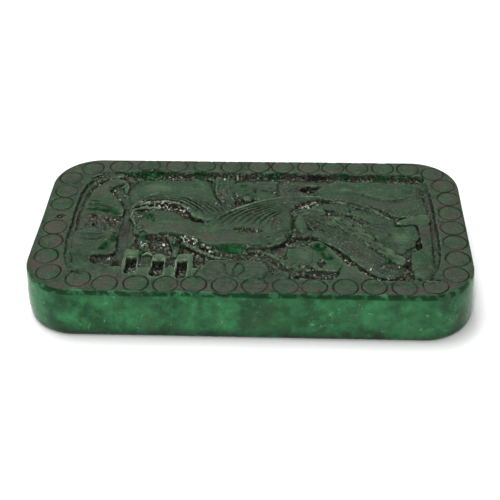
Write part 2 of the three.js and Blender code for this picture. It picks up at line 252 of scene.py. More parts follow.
def score(route, half=0.22, depth=0.3, tapered=True):
    """A wheel-cut line: a V that starts and ends in nothing."""
    line = smooth_line(route)
    window, _, _, distance, along, _, _ = measure(line, max(2 * half, 0.6))
    ends = np.sin(np.pi * np.clip(along / (len(line) - 1), 0.001, 0.999)) if tapered else 1
    relief[window] -= depth * ends**0.5 * np.exp(-((distance / half) ** 2))
    if depth > 0:
        gap = distance * 0.22 / half + 0.25 * (1 - ends**0.5 * min(depth / 0.4, 1))
        cut_gap[window] = np.minimum(cut_gap[window], gap)


def comb(first, last, count, half=0.22, depth=0.3):
    """A row of wheel-cut lines that passes evenly from the first to the last."""
    first, last = np.array(first, float), np.array(last, float)
    for share in np.linspace(0, 1, count):
        score(first + (last - first) * share, half, depth)


def drill(x, y, across, depth, squash=1.0, lean=0.0, torn=0.6):
    """A drilled or ground hollow, round or, with squash, oval and turned by lean degrees."""
    reach = across * max(squash, 1)
    columns = slice(*np.searchsorted(xs, (x - reach, x + reach)))
    rows = slice(*np.searchsorted(ys, (y - reach, y + reach)))
    dx, dy = map_x[rows, columns] - x, map_y[rows, columns] - y
    turn = math.radians(lean)
    u = (dx * math.cos(turn) + dy * math.sin(turn)) / (across / 2)
    v = (dy * math.cos(turn) - dx * math.sin(turn)) / (across / 2 * squash)
    share = ease(1.6 - 1.6 * np.hypot(u, v) ** 2)
    relief[rows, columns] -= depth * share
    rough[rows, columns] += (torn - rough[rows, columns]) * share


def patch(field, x, y, across, amount=1.0, squash=1.0, lean=0.0):
    """Adds a soft oval patch to a map, turned by lean degrees."""
    turn = math.radians(lean)
    dx, dy = map_x - x, map_y - y
    u = (dx * math.cos(turn) + dy * math.sin(turn)) / (across / 2)
    v = (dy * math.cos(turn) - dx * math.sin(turn)) / (across / 2 * squash)
    field += amount * np.exp(-1.5 * (u * u + v * v))


def hatch(route, spacing, lean, depth):
    """Fine close cuts across a band of x, y and half width, leaning by lean mm per mm across."""
    line = smooth_line(route)
    window, _, _, distance, along, side, _ = measure(line, line[:, 2].max())
    half = np.interp(along, np.arange(len(line)), line[:, 2])
    steps = np.hypot(*np.diff(line[:, :2], axis=0).T)
    run = np.interp(along, np.arange(len(line)), np.concatenate([[0], np.cumsum(steps)]))
    phase = (run + lean * side * distance) / spacing
    cover = ease((half - distance) / 0.4)
    relief[window] -= depth * cover * (0.5 + 0.5 * np.cos(2 * np.pi * phase)) ** 2
    gap = np.abs(phase - np.round(phase)) * spacing + 0.3 * (1 - cover * min(depth / 0.3, 1))
    cut_gap[window] = np.minimum(cut_gap[window], gap)


# ---------------------------------------------------------------- the sunk field
# The ground between the forms, cut about a millimetre down with the wheel, with trenches of two
# millimetres beside the forms. Its floor is torn and sparkles. A shallow channel runs up both ends.

GROUND = -1.1
TRENCH = -2.2
BORDER = {"left": 10, "right": 9.5, "front": 6.4, "back": 6.9}  # how wide the border is
LEFT, RIGHT = BORDER["left"] - length / 2, length / 2 - BORDER["right"]
FRONT, BACK = BORDER["front"] - width / 2, width / 2 - BORDER["back"]
BEND = 7.0  # about the radius of the field's corners
BORDER_LINE = [
    (RIGHT, FRONT + BEND),
    (RIGHT, BACK - BEND),
    (RIGHT - 0.3 * BEND, BACK - 0.3 * BEND),
    (RIGHT - BEND, BACK),
    (LEFT + BEND + 2, BACK),
    (LEFT + 0.45 * BEND, BACK - 0.3 * BEND),
    (LEFT, BACK - 1.3 * BEND),
    (LEFT, FRONT + 1.5 * BEND),
    (LEFT + 0.5 * BEND, FRONT + 0.5 * BEND),
    (LEFT + 1.2 * BEND, FRONT + 0.1 * BEND),
    (RIGHT - BEND, FRONT),
    (RIGHT - 0.3 * BEND, FRONT + 0.3 * BEND),
]


def sink_field():
    """Cuts the whole field down to its ground, with fluted walls and a pitted floor."""
    line = smooth_line(BORDER_LINE, True)
    window, x, y, distance, _, _, inside = measure(line, 1)
    depth_in = np.where(inside, distance, -distance)
    flutes = 0.15 * lumps(x, y * 0.3, 1.3, 11) + 0.6 * lumps(x, y, 2.6, 12)
    floor = GROUND + 0.22 * lumps(x, y, 2.2, 13) + 0.16 * lumps(x, y, 0.8, 14)
    floor += 0.1 * lumps(x, y, 0.45, 15)
    slope = 0.7 + 0.5 * ease(y - BACK + 4)
    lay(window, ease((depth_in + flutes) / slope), floor, 1.0, depth_in)


sink_field()
TRENCHES = {
    "under the far wing": [
        (-31, 6.2, 0.8), (-26, 7.6, 1.2), (-21, 7, 1.5), (-17.6, 4.4, 1.7), (-14, 1, 1.3),
    ],
    "below the breast": [(-26.6, -7.6, 1.4), (-22.4, -9.4, 3), (-19, -12.6, 2.4)],
    "beside the branch": [(-18, -8.6, 1.2), (-12.6, -11.4, 1.4), (-8, -14.6, 1)],
    "left of the bridge": [(-33.4, -10.6, 0.9), (-33, -18.6, 1)],
    "along the tail's foot": [
        (7.6, -11.8, 1.4), (9.6, -8.6, 1.4), (13, -6.2, 1.4), (17.4, -7.2, 1.5), (21, -10, 1.6),
        (24.6, -15, 1.8), (28.6, -19.6, 1.6), (33, -21.8, 1.2), (37, -21.4, 1),
    ],
    "behind the near wing": [(-4.4, 10.6, 1.5), (0.4, 10.4, 1.1)],
    "beside the tongue": [(37.6, 2.6, 1), (41, 4.4, 1), (44.4, 4.6, 0.8)],
}
rib([(-38, 21.4, 1.4), (0, 21.2, 1.9), (44, 21, 1.6)], -1.9, crown=-0.2, wall=1.2, torn=1.0)
for route in TRENCHES.values():
    rib(route, TRENCH, crown=-0.2, wall=0.9, torn=1.0)

LEFT_CHANNEL = [
    (-38.6, -23, 0.2), (-41.2, -21.8, 0.4), (-43.8, -19.8, 0.6), (-45.2, -15.5, 0.7), (-45.8, -9, 0.75),
    (-45.8, 0, 0.75), (-45.8, 8, 0.75), (-45.3, 13.6, 0.8), (-43.6, 18.2, 0.9), (-40.6, 20.9, 1),
    (-37, 21.8, 0.8),
]
RIGHT_CHANNEL = [
    (45.4, 19, 0.9), (46.1, 12, 1), (46.3, 4, 1), (46.4, -4, 1), (46.3, -11, 0.95), (45.7, -17, 0.8),
    (44.2, -21, 0.6), (41.4, -23.2, 0.4),
]
rib(LEFT_CHANNEL, -0.5, crown=-0.1, torn=0.35)
rib(RIGHT_CHANNEL, -0.7, crown=-0.1, torn=0.5)
for channel, offset, half_cut, depth in (
    (LEFT_CHANNEL[3:-1], -0.9, 0.24, 0.6), (LEFT_CHANNEL[3:-1], 0.8, 0.16, 0.35),
    (RIGHT_CHANNEL[:-2], -0.8, 0.28, 0.7), (RIGHT_CHANNEL[:-2], 0.9, 0.18, 0.4),
):
    score([(x + offset * half, y) for x, y, half in channel], half_cut, depth)
score([(x + 0.25, y) for x, y, half in RIGHT_CHANNEL[:-1]], 0.2, -0.3)
# The border's own edge is worn away, and so is the far wall's.
edge_gap[(edge_gap > 0) | (flat_y > BACK - 1.8)] = NOWHERE

# ---------------------------------------------------------------- left clouds
# Three cloud banks against the left channel, flush with the border. The upper one curls over a
# drilled hollow, the middle one is lower and pitted, and the lower one ends in a hook.

stand(
    [(-37.6, 14), (-36, 11.6), (-34.4, 8), (-33.6, 2), (-33.8, -6), (-32.6, -11), (-34, -14),
     (-34, -18), (-32.7, -19.4), (-31.4, -18), (-31, -12), (-30, -6), (-30.4, 2), (-32, 6),
     (-31.6, 11), (-33, 15), (-35.6, 16.6)],
    -1.3, drop=-0.15, torn=0.15,
)
stand(
    [(-45, 6), (-41, 6.3), (-38, 4.6), (-35.3, 2), (-34.1, 0), (-34.2, -2.4), (-35, -4.4),
     (-40.5, -4.6), (-45, -4.4)],
    -0.7, shoulder=1.2, drop=0.3, tilt=(0.01, 0.03), torn=0.4,
)
rib([(-44.6, 5.9, 0.5), (-41.6, 6, 0.8), (-38.6, 5.2, 1), (-36, 3.9, 1.1), (-34.4, 3.4, 0.8)],
    -0.6, crown=0, wall=0.9)
drill(-41.5, 2.6, 1.1, 0.5, squash=1.9, lean=40)
drill(-40.8, -1.3, 1.2, 0.5, squash=1.5, lean=-15)
drill(-42.6, -1.6, 0.9, 0.35, squash=1.8)
drill(-37.8, 0.8, 0.9, 0.5, squash=1.4, lean=50)
score([(-38.6, -0.6), (-37.8, -2), (-37.6, -3.8)], 0.22, 0.4)
score([(-37.2, 0), (-36.5, -1.6), (-36.6, -3.4)], 0.25, 0.45)
score([(-36, 0.2), (-35.2, -1.4), (-35.4, -3)], 0.22, 0.3)
score([(-44.4, -4), (-41, -4.3), (-37, -4.3)], 0.25, 0.4)
stand(
    [(-44.7, 6), (-44.6, 10), (-44, 12.8), (-42.8, 15.4), (-41.2, 17.8), (-39.6, 19.5), (-37.7, 19.9),
     (-35.7, 19.4), (-34.5, 17.9), (-33.9, 15.6), (-33.8, 13.4), (-34.6, 13), (-35.2, 15), (-35.8, 16.8),
     (-37, 16.8), (-38.2, 15.8), (-38.9, 14.4), (-38.3, 13), (-36.6, 10.9), (-35.3, 9), (-34.4, 7),
     (-33.7, 5), (-33.7, 3.6), (-34.6, 3.2), (-36.8, 4.4), (-39, 5.5), (-41.8, 6)],
    -0.08, shoulder=0.8, drop=0.35, tilt=(-0.012, 0.01),
)
rib([(-35.4, 18.4, 0.3), (-34.4, 16.4, 0.35), (-34.2, 13.8, 0.3)], -0.12, crown=0.2)
stand(
    [(-45, -4.8), (-40, -5), (-36.2, -5), (-34.9, -5.8), (-33.7, -8), (-32.9, -10.3),
     (-33.6, -12.6), (-35, -13.8), (-37.4, -14.3), (-39.2, -15.2), (-39.4, -16.9),
     (-38.2, -18.3), (-36.4, -18.2), (-34.6, -18.8), (-34.2, -20), (-34, -24.4), (-38, -24.4),
     (-42, -21.4), (-43.8, -17.4), (-44.9, -12)],
    -0.06, shoulder=0.6, drop=0.25,
)
patch(relief, -35.2, -12, 7, -0.8, squash=0.6, lean=52)
score([(-43.6, 8.7), (-42.2, 8.8), (-40.8, 8.6)], 0.3, 0.6)
score([(-43.6, 7.4), (-42.2, 7.4), (-40.6, 7.5)], 0.3, 0.6)
score([(-44.2, 6.5), (-42, 6.9), (-39.6, 6.8), (-37.8, 6), (-36.6, 5.3)], 0.24, 0.5)
score([(-36.6, 10), (-35.4, 8.6), (-34.5, 7)], 0.18, 0.25)
score([(-44.2, -5.9), (-41, -6.2), (-38.4, -6.1), (-37, -5.6)], 0.3, 0.45)
score([(-44.2, -7.4), (-41.4, -8.5), (-38.8, -8.3), (-37.4, -7.2)], 0.3, 0.5)
score([(-44.2, -9.2), (-42.4, -9.7), (-40.4, -9.6), (-38.6, -9)], 0.22, 0.22)
score([(-44, -10.6), (-42.4, -11.5), (-40.4, -11.6), (-39, -11)], 0.22, 0.28)
score([(-38, -19.6), (-36.4, -20.4), (-35.4, -19.6), (-36.2, -18.9)], 0.24, 0.35)
score([(-40.4, -20.6), (-37.6, -21.6), (-35.4, -21)], 0.22, 0.25)
drill(-37.4, -16.3, 3.2, 0.7, squash=1.1)
for x, y, across, depth in ((-42, 13.6, 0.7, 0.12), (-43, 14.6, 0.6, 0.12), (-41.4, -14, 0.8, 0.1)):
    drill(x, y, across, depth, torn=0.2)
# A channel is left between the left clouds and the wing and bridge.
rib([(-33.3, 6, 0.7), (-32.8, 2, 1.1), (-32.6, -5, 1.4), (-32.3, -12, 1.4), (-32.6, -17.4, 1.4)],
    -1.7, crown=-0.15, wall=0.5, torn=0.12)

# ---------------------------------------------------------------- the bridge
# Three squat towers on one plate, each with a deep square arch ground out of it, and a slot
# between each two. The upper edges are thin and pale.

TOWERS = [(-29.2, 4.2, -12.4), (-22.2, 3.4, -13.9), (-15.9, 4.5, -13.9)]
ARCHES = [(-28.9, 2.7, -15.9, -22.4), (-22.3, 2.7, -16.6, -23.2), (-16.3, 2.5, -16.8, -23.7)]

stand([(-36, -19.6), (-9, -19.6), (-9, -25.5), (-40, -25.5), (-40, -21)], -0.05, 0.4, 0.12, corners=True)
for x, across, back in TOWERS:
    half = across / 2
    stand(
        [(x - half, -24), (x - half, back - 0.9), (x - half + 0.9, back), (x + half - 0.9, back),
         (x + half, back - 0.9), (x + half, -24)],
        -0.05, shoulder=0.6, drop=0.2, corners=True,
    )
stand([(-26.7, -15), (-25.4, -13.9), (-24.1, -15), (-24, -18), (-25.2, -19.1), (-26.5, -18)],
      -1.2, drop=-0.1, torn=0.5)
stand([(-20.4, -13.6), (-19.2, -17.6), (-18, -13.6)], -1.7, drop=-0.1, torn=0.6)
stand([(-13.5, -12), (-13.5, -19.2), (-12.3, -19.6), (-11.2, -19.2), (-11, -12)], -1.8, drop=-0.1, torn=0.8)
rib([(-26.6, -14.6, 0.3), (-25.4, -13.7, 0.35), (-24.2, -14.4, 0.3)], -0.3, crown=0.2)
for x, across, back, front in ARCHES:
    half = across / 2
    stand(
        [(x - half, front + 0.6), (x - half, back), (x + half, back), (x + half, front + 0.6),
         (x + half - 0.6, front), (x - half + 0.6, front)],
        -2.3, drop=-0.1, wall=0.4, torn=0.9, corners=True,
    )
    # Painted shade inside the arch.
    patch(tone_and_painted_light, x, back - 0.9, across * 1.3, -3.2, squash=0.7)
    for share in (-0.3, 0, 0.3):
        score([(x + share * across, back + 1.2), (x + share * across, back + 0.4)], 0.2, 0.3)
for x, y, across in ((-29.4, -14.2, 4), (-22.2, -15.2, 3.6), (-16, -15.2, 4.6), (-24.8, -13.6, 1.5)):
    patch(tone_and_painted_light, x, y, across, 1.3)

# ---------------------------------------------------------------- scroll clouds and branch
# Two low discs flush with the border in front of the bird, with a spiral cut between them, a beaded
# rim behind them, and a twisted branch that crosses the rough slope at their right.

stand(
    [(-10.6, -24.6), (-10.6, -17.4), (-8, -16), (-4, -16.2), (0, -16), (3, -17), (5, -19.4),
     (6.4, -22), (12, -23), (41, -23.2), (42, -25), (20, -25.4)],
    -0.1, shoulder=0.8, drop=0.35,
)
for x, y, across, top in ((-8.2, -19.4, 5.6, -0.02), (0.7, -20.2, 8.8, -0.05)):
    disc = [
        (x + across / 2 * math.cos(turn), y + across / 2 * math.sin(turn))
        for turn in np.linspace(0, 2 * math.pi, 16, endpoint=False)
    ]
    stand(disc, top - 0.06, shoulder=0.8, drop=0.3, wall=0.3)
    score(disc[1:9], 0.22, 0.22)
score([(-6, -18.8), (-4.8, -17.4), (-2.8, -17.2), (-1.4, -18.4), (-1, -20.6), (-2.2, -22.2), (-4, -22.4),
       (-5.2, -21.2), (-5.2, -19.9), (-4.4, -19.2), (-3.6, -19.6)], 0.22, 0.36)
score([(-10.4, -19.6), (-9.4, -17.6), (-7.6, -16.9)], 0.2, 0.2)
rib([(-17, -8.8, 0.5), (-13, -11.6, 0.6), (-10, -13.8, 0.5), (-8, -14.9, 0.4), (-5.6, -15.5, 0.35),
     (0.2, -16.1, 0.3)], -0.5, crown=0.3, torn=0.7)
hatch([(-9.5, -14.2, 0.6), (-6, -15.5, 0.6), (0, -16, 0.5)], 0.9, 0, 0.14)
stand(
    [(-0.6, -12.8), (3, -12.6), (6, -13.4), (8.4, -15.4), (9.6, -18), (9.4, -20.6), (6.6, -21), (5.4, -19),
     (3.2, -17), (0.2, -16.2)],
    -1.0, shoulder=1.2, drop=0.4, torn=0.75, tilt=(-0.02, 0.02),
)
rib([(-0.2, -12, 0.4), (1.6, -11.9, 0.5), (3.4, -12.6, 0.5), (5.6, -13.8, 0.5), (7.4, -15.4, 0.45),
     (9, -17.8, 0.4)], -0.4, crown=0.35)
rib([(0.8, -14.2, 0.5), (3.4, -15.2, 0.5), (5.6, -17, 0.5), (7.6, -19.4, 0.4)], -0.75, crown=0.3, torn=0.5)
hatch([(0, -12, 0.6), (4, -13, 0.7), (9, -17.6, 0.7)], 1.1, 0.4, 0.12)
score([(1.4, -13.4), (4.6, -14.8), (7, -17), (8.6, -19)], 0.25, 0.5)
stand([(6.2, -22.4), (6.4, -20.8), (7.8, -20), (9.6, -20.4), (10, -22), (8.6, -23.4)], -0.3, 0.6, 0.2)
score([(6.8, -22.6), (7.4, -21.2), (9, -20.8)], 0.2, 0.3)
score([(8, -22.8), (8.4, -21.8), (9.8, -21.4)], 0.2, 0.25)

# ---------------------------------------------------------------- far clouds
# Along the far wall: a broad smooth bank, two upright ribs, two square blocks and a swirl round
# a dark hollow, then a long wave whose crest overhangs a hatched body at the right.

stand(
    [(-33.4, 12), (-33.4, 16.5), (-31.4, 19.4), (-27, 20.8), (-17, 20.8), (-12.4, 20), (-10.8, 16),
     (-9, 11), (-14, 9), (-24, 9.6), (-30, 9.6), (-32.4, 9)],
    -0.7, shoulder=1.2, drop=0.35, tilt=(0, -0.035),
)
stand([(-11.5, 21.6), (-11, 14), (-8.6, 9.4), (-5.6, 8.4), (-5, 13), (-5.6, 21.6)], -1.1, torn=0.4)
rib([(-10.3, 21.6, 0.5), (-10.3, 16, 0.4), (-9.4, 12.8, 0.5), (-8, 10.2, 0.5)], -0.6, crown=0.3)
rib([(-7.4, 22.6, 0.5), (-7.2, 18, 0.35), (-6.2, 13.4, 0.4), (-5.2, 10.8, 0.35)], -0.75, crown=0.3)
rib([(-4.9, 22.8, 0.4), (-4.8, 21, 0.45)], -0.5, crown=0.3)
stand([(-5.1, 19.6), (-5.2, 16.4), (-4.2, 13.6), (-2.4, 12.2), (-0.3, 12.4), (-0.1, 19.6)], -0.8, 0.7, 0.3)
stand([(-3, 14.6), (-1.4, 15.2), (0, 14.4), (0, 11.8), (-1.4, 11), (-2.8, 12)], -0.5, 0.8, 0.35)
stand([(0.5, 19.6), (0.5, 15.4), (3, 15.2), (6, 15.6), (6.2, 18.4), (5.6, 19.8)], -0.55, 0.6, 0.25)
stand([(0.7, 15), (4.4, 15.2), (5.9, 13.4), (5.4, 10.8), (3, 9.8), (1.4, 10), (0.6, 12)], -0.75, 0.7, 0.3)
stand([(1, 13), (1.6, 14.6), (3, 14.8), (4.1, 13.2), (3.8, 11.2), (2.4, 10.3), (1.1, 11.2)],
      -0.45, 0.6, 0.2)
score([(-4.8, 16.6), (-3, 15.8), (-0.6, 16.2)], 0.3, 0.3)
drill(4.9, 16.4, 1.8, 0.5, squash=0.4)
drill(-3.6, 9.8, 2.6, 0.6, squash=0.8)
drill(-0.8, 9.6, 2.2, 0.7, squash=0.7)
stand(
    [(6.6, 20.4), (6.6, 14), (7.8, 11.6), (12, 12.8), (18, 14), (20.4, 16.4), (20, 20.6), (12, 21)],
    -1.15, shoulder=1.0, drop=0.25, torn=0.45,
)
rib([(8.6, 15.8, 0.5), (11.4, 18, 0.45), (15, 18.6, 0.4), (18.6, 18, 0.4)], -0.8, crown=0.3, torn=0.3)
drill(15.4, 16.8, 7, 1.2, squash=0.45, lean=8, torn=1.0)
WAVE = [(16, 13.8), (19, 14.7), (21.6, 15.1), (25, 15.2), (28, 14.4), (30.7, 13.1),
        (33.3, 12.1), (36.7, 11.5), (39.3, 12), (41.7, 13.3), (43.8, 14.6)]
stand(
    WAVE + [(45.2, 11), (45.3, 7.4), (43.6, 4.8), (40.6, 4.6), (37.4, 4.6), (34.6, 6.6), (31, 9),
            (25, 11), (20, 11.8)],
    -0.6, shoulder=1, drop=0.1, tilt=(0, 0.05),
)
hatch([(16.6, 12.8, 1.6), (24, 12.8, 2.4), (30, 11, 2.6), (36, 8.2, 3.4), (41, 8.2, 3.8), (45, 10, 3.4)],
      1.15, -0.75, 0.13)
stand(
    WAVE + [(45, 17.4), (43, 19.4), (32, 20.2), (22, 20), (18, 17)],
    -0.45, shoulder=0.6, drop=0.05, tilt=(-0.004, -0.05),
)
rib([(x, y + 0.1, 0.4) for x, y in WAVE], -0.3, crown=0.25, wall=0.7)
score([(x, y - 0.7) for x, y in WAVE[1:-1]], 0.3, 0.24)
# Painted light along the wave's crest, and painted shade on its body below it.
for x, y in WAVE[2:-1]:
    patch(tone_and_painted_light, x, y + 0.3, 3.2, 0.6, 0.4)
    patch(tone_and_painted_light, x, y - 2.6, 4, -0.3, 0.8)
rib([(-44.6, 19.6, 0.4), (-42.6, 21, 0.5), (-40.4, 21.8, 0.4)], -0.5, crown=0.3, torn=1.0)
# Broken stubs of stone are left on the far ground.
STUBS = [(-36.6, 19.9, 0.5), (-33.6, 19.6, 0.7), (-31.4, 19.8, 0.5), (-16, 20.4, 0.7), (-12, 20.8, 0.6)]
for x, y, half in STUBS:
    rib([(x - 0.6, y + 0.5, half), (x + 0.6, y - 0.3, half)], -0.7, crown=0.4, torn=0.6)

# ---------------------------------------------------------------- the bird's tail
# A fan of scalloped plumes swept down to the right, two thin ribs and two rolled feathers above
# it, and one broad feather with a square-cut end.

stand(
    [(24, 11), (30, 9.2), (35, 6.4), (37.4, 2.2), (36, 0), (42, 0), (45, 2.6), (45.3, -8), (43, -9),
     (40, -12), (38, -15), (34, -12), (28, -4), (22, 4.8), (17, 7), (14, 8), (12, 6), (10, 9), (16, 11.4)],
    -1.2, shoulder=1.4, drop=0.3, torn=0.6,
)
stand([(9.4, 7.4), (10.6, 11.2), (14, 11.6), (18, 10.8), (18.6, 8.6), (15.6, 7), (12.4, 5.4), (10.6, 5)],
      -0.75, shoulder=0.9, drop=0.3, torn=0.7)
comb([(10, 7), (11.6, 9), (14, 10.8)], [(13.4, 6), (15.4, 7.4), (18.2, 8.8)], 5, 0.28, 0.45)
rib([(10, 11.7, 0.6), (14, 12.3, 0.65), (17, 12.2, 0.65), (19.6, 11.2, 0.6), (22.8, 10, 0.6),
     (26, 9.9, 0.65), (28.8, 8.7, 0.6), (31.4, 6.7, 0.55), (33.4, 4.7, 0.5), (35.4, 2.4, 0.4)],
    -0.25, crown=0.35)
score([(12, 12.1), (16.6, 11.9), (20, 10.6), (25.8, 9.6), (29.4, 7.9), (33, 4.6)], 0.2, 0.35)
rib([(23, 9.3, 0.35), (26.6, 8.6, 0.4), (29.6, 6.9, 0.35), (32.4, 4.9, 0.3)], -0.6, crown=0.3, torn=0.4)
rib([(16.4, 7.6, 0.8), (19.4, 8.2, 1.3), (22.6, 7.8, 1.6), (25.2, 6.8, 1.4)], -0.35, crown=0.55)
rib([(25.4, 5, 0.9), (27.6, 5.2, 1.7), (30.2, 3.8, 2.1), (32.8, 2.1, 2), (35.8, 0.4, 1.1)],
    -0.25, crown=0.5)
score([(25.3, 7.2), (25.6, 5.8), (25.4, 4.6)], 0.3, 0.5)
hatch([(16.6, 7.8, 1), (20, 8.2, 1.4), (25, 7, 1.5)], 0.85, 0.8, 0.16)
hatch([(25.2, 5.2, 1.4), (28, 5.2, 1.8), (31, 3.4, 2.1), (36, 0.2, 1.5)], 1.0, 0.9, 0.16)
stand(
    [(29.8, 0.2), (33, -0.2), (36.8, -0.6), (41.6, -0.4), (42.1, -2), (42.6, -4.6), (42, -6.2), (41, -8.6),
     (39, -10.6), (37.6, -13), (36.2, -13.6), (34.2, -11), (31.8, -8), (30.6, -4.4), (28, -1.4)],
    -0.35, shoulder=0.8, drop=0.3, tilt=(0, 0.02),
)
stand([(39.4, -1), (41.7, -0.6), (42.3, -2.6), (42.5, -5.4), (41, -6.8), (39.4, -4.4)], -0.2, 0.6, 0.2)
comb([(31.4, -4), (34, -5.4), (37, -6), (40.4, -6)], [(33.6, -8), (35.4, -9.6), (37, -11), (38, -12)],
     6, 0.22, 0.2)
score([(20.8, 5.3), (23.3, 4.5), (25.7, 2.9), (27.4, 1.1), (29.4, -0.6), (32, -2),
       (35.4, -3), (38.6, -3.8)], 0.34, -0.3)
score([(21.4, 6.3), (24.3, 5.4), (26.8, 3.6), (28.5, 1.8), (30.4, 0.1), (33.4, -1.6), (37, -2.5)],
      0.34, -0.3)
rib([(30.6, -2.2, 0.3), (33.3, -4.2, 0.3), (36, -4.9, 0.25)], -0.2, crown=0.3, wall=0.25)
score([(21, 5.8), (23.8, 5), (26.3, 3.2), (28, 1.4), (30, -0.3), (33, -1.9), (37, -3.1)], 0.18, 0.45)
score([(20.6, 4.6), (23, 3.8), (25.2, 2), (27, 0.2), (29, -1.5), (31.6, -3)], 0.25, 0.5)
stand([(20.6, 4.4), (24, 3.4), (27, 0.6), (30, -2.4), (31.4, -6), (30.6, -8), (28.8, -4), (25.4, -0.4),
       (22.4, 1.6), (19.4, 4.2)], -0.65, shoulder=0.8, drop=0.1, wall=0.8)

FAN_EDGE = [(11.2, 1), (12.2, 4.6), (15.6, 6.2), (19, 5), (22.4, 2), (25, 0.2), (28.8, -3.6),
            (30.6, -7), (31.4, -9.6), (34.6, -12), (38, -15)]
FAN_FOOT = [(38, -18), (36, -20.6), (32, -20.7), (29.3, -18.7), (26.7, -15.7), (24.3, -12.7),
            (21.7, -9.3), (18.7, -7), (15.3, -5), (12.4, -4.6), (11.2, -1.6)]
stand(FAN_EDGE + FAN_FOOT, -0.75, shoulder=1.0, drop=0.35, tilt=(0.0, 0.01), torn=0.25)
comb([(13.6, -3.8), (18, -6), (22, -8.8), (26, -13.6), (30, -18.4)],
     [(15, 2.4), (20.4, -0.8), (25.4, -5), (30, -10), (36, -16)], 6, 0.24, 0.17)
LOBES = [
    (13.6, 5, 2.2, 20), (16.8, 5, 2.4, -15), (20.6, 0.9, 3, -20), (24, -0.9, 2.5, -35),
    (27, -3.4, 2.5, -25), (29.4, -6.2, 2.3, -40), (31.8, -9.6, 2.5, -35), (34.2, -12.1, 2.4, -35),
    (36.4, -14.9, 2.5, -35),
]
LOBE_SHAPE = [
    (1, 0), (0.6, 0.8), (-0.1, 1), (-0.9, 0.7), (-1.5, 0.2), (-1.1, -0.5), (0.1, -0.8), (0.7, -0.6),
]
for x, y, across, lean in LOBES:
    turn = math.radians(lean)
    lobe = [
        (x + across * u * math.cos(turn) - across * 0.7 * v * math.sin(turn),
         y + across * u * math.sin(turn) + across * 0.7 * v * math.cos(turn))
        for u, v in LOBE_SHAPE
    ]
    stand(lobe, -0.08, shoulder=0.7, drop=0.14, wall=0.35, tilt=(0.06, 0.07))
    patch(tone_and_painted_light, x + 0.5, y + 0.5, 1.5 * across, 0.5)
    score([(x + 1.1 * (u - x), y + 1.1 * (v - y)) for u, v in lobe[-1:] + lobe[:4]], 0.26, 0.5)
    root = (x - 1.3 * across * math.cos(turn), y - 1.3 * across * math.sin(turn))
    for spread_out in (-0.35, 0, 0.35):
        vein = turn + spread_out
        score([root, (x + 0.5 * across * math.cos(vein), y + 0.5 * across * math.sin(vein))], 0.2, 0.22)
stand([(11, 0.6), (11.6, 3), (13, 3.4), (14.2, 1.6), (14.6, -1.6), (13.6, -4), (12, -3.6), (11.2, -1.6)],
      -0.2, 0.7, 0.3)
stand([(13.6, 3), (15.4, 0.6), (17.4, -1.6), (19.4, -4.4), (18, -5.6), (15.6, -4.6), (14.4, -1.6)],
      -0.45, 0.6, 0.3)
comb([(14.2, 0.4), (15, -1.4), (16, -3.8)], [(15.8, 1), (17.2, -0.8), (18.6, -3)], 4, 0.22, 0.45)
comb([(12.4, 4.4), (14.6, 1.6), (17.6, -1.6), (20.4, -5)], [(17, 6.4), (21.4, 3.4), (25, -0.6), (28, -4.6)],
     9, 0.2, 0.26)
drill(16.8, -1.8, 0.9, 0.6, squash=3.2, lean=38)
drill(15, -2, 0.8, 0.6, squash=2.6, lean=30)
comb([(31, -13), (33, -14.8), (36.4, -16.6)], [(30.4, -17.6), (33, -19.4), (36.4, -20)], 5, 0.22, 0.3)

# ---------------------------------------------------------------- right-hand rocks
# A grey tongue and a corner rock beside the right channel. In front of the tail a leafy rock, a
# polished emerald hollow with a bar across it, a smooth curved ridge and a flush fan of stone.

stand([(42.7, 2), (45.4, 2.4), (45.5, -8.6), (43.2, -9.4), (42.8, -5)], -0.42, drop=0, tilt=(0, 0.075))
stand([(37.2, 0.4), (39, 1.9), (41.2, 3.1), (45.4, 4.3), (45.5, 0.4), (42.2, -0.2), (39.6, -0.3)],
      0, shoulder=0.4, drop=0.05)
stand(
    [(39.8, -16), (40, -13.2), (42, -10.6), (45.1, -8.8), (45.3, -14), (45, -19.6),
     (42.8, -22.4), (40.4, -21.8), (39.8, -19.4)],
    -0.1, shoulder=0.8, drop=0.3,
)
score([(41.9, -14.6), (41.2, -16.8), (40.6, -19)], 0.3, -0.2)
drill(42.3, -8.2, 1.7, 1.1, squash=1.7, lean=-15)
drill(37.5, -12.7, 1.5, 0.8, squash=1.5, lean=-40)
drill(38.9, -16.8, 1.3, 0.8, squash=2)
stand([(5.4, -10.2), (8, -9.2), (10.4, -9.8), (9.8, -12.6), (7.4, -13.6), (5.6, -12.6)],
      -1.2, 0.8, 0.3, torn=0.5)
stand([(8.8, -9.4), (10.4, -7.4), (13, -6.8), (15.4, -7.8), (15, -9.6), (11, -9.8)],
      -0.7, shoulder=0.9, drop=0.4, torn=0.8)
stand(
    [(9.2, -12.6), (9.8, -11.2), (11, -10.8), (11.8, -9.9), (13.4, -10), (14.4, -9.6), (15.8, -10.6),
     (16.6, -13), (16.4, -15.2), (16.2, -17.4), (15.2, -18.2), (15, -19.8), (13.2, -19.6), (11.6, -20),
     (10.8, -19), (9.2, -18.8), (9, -17.2), (8.2, -16.2), (9.4, -15)],
    -0.1, shoulder=0.8, drop=0.3,
)
score([(15.2, -17.6), (13, -18.6), (10.8, -17.8)], 0.26, 0.35)
score([(10.2, -15.6), (11.4, -14.4), (13, -14.8)], 0.25, 0.12)
score([(9.8, -18.2), (11.4, -17.2), (12.6, -17.4)], 0.25, 0.3)
stand(
    [(15.2, -8.4), (17.6, -7.8), (20, -10), (21.9, -13.6), (24.6, -17.4), (25.6, -19), (24, -20.6),
     (21, -20), (16.4, -19.4), (15.4, -16.4), (15.8, -12)],
    -0.15, shoulder=0.5, drop=0.2,
)
patch(relief, 17.6, -10.2, 4.2, -0.8, squash=0.9, lean=20)
patch(relief, 19.4, -14, 5, -0.8, squash=0.6, lean=-42)
drill(17.8, -17.2, 2.2, 0.8, squash=1.6, torn=0.7)
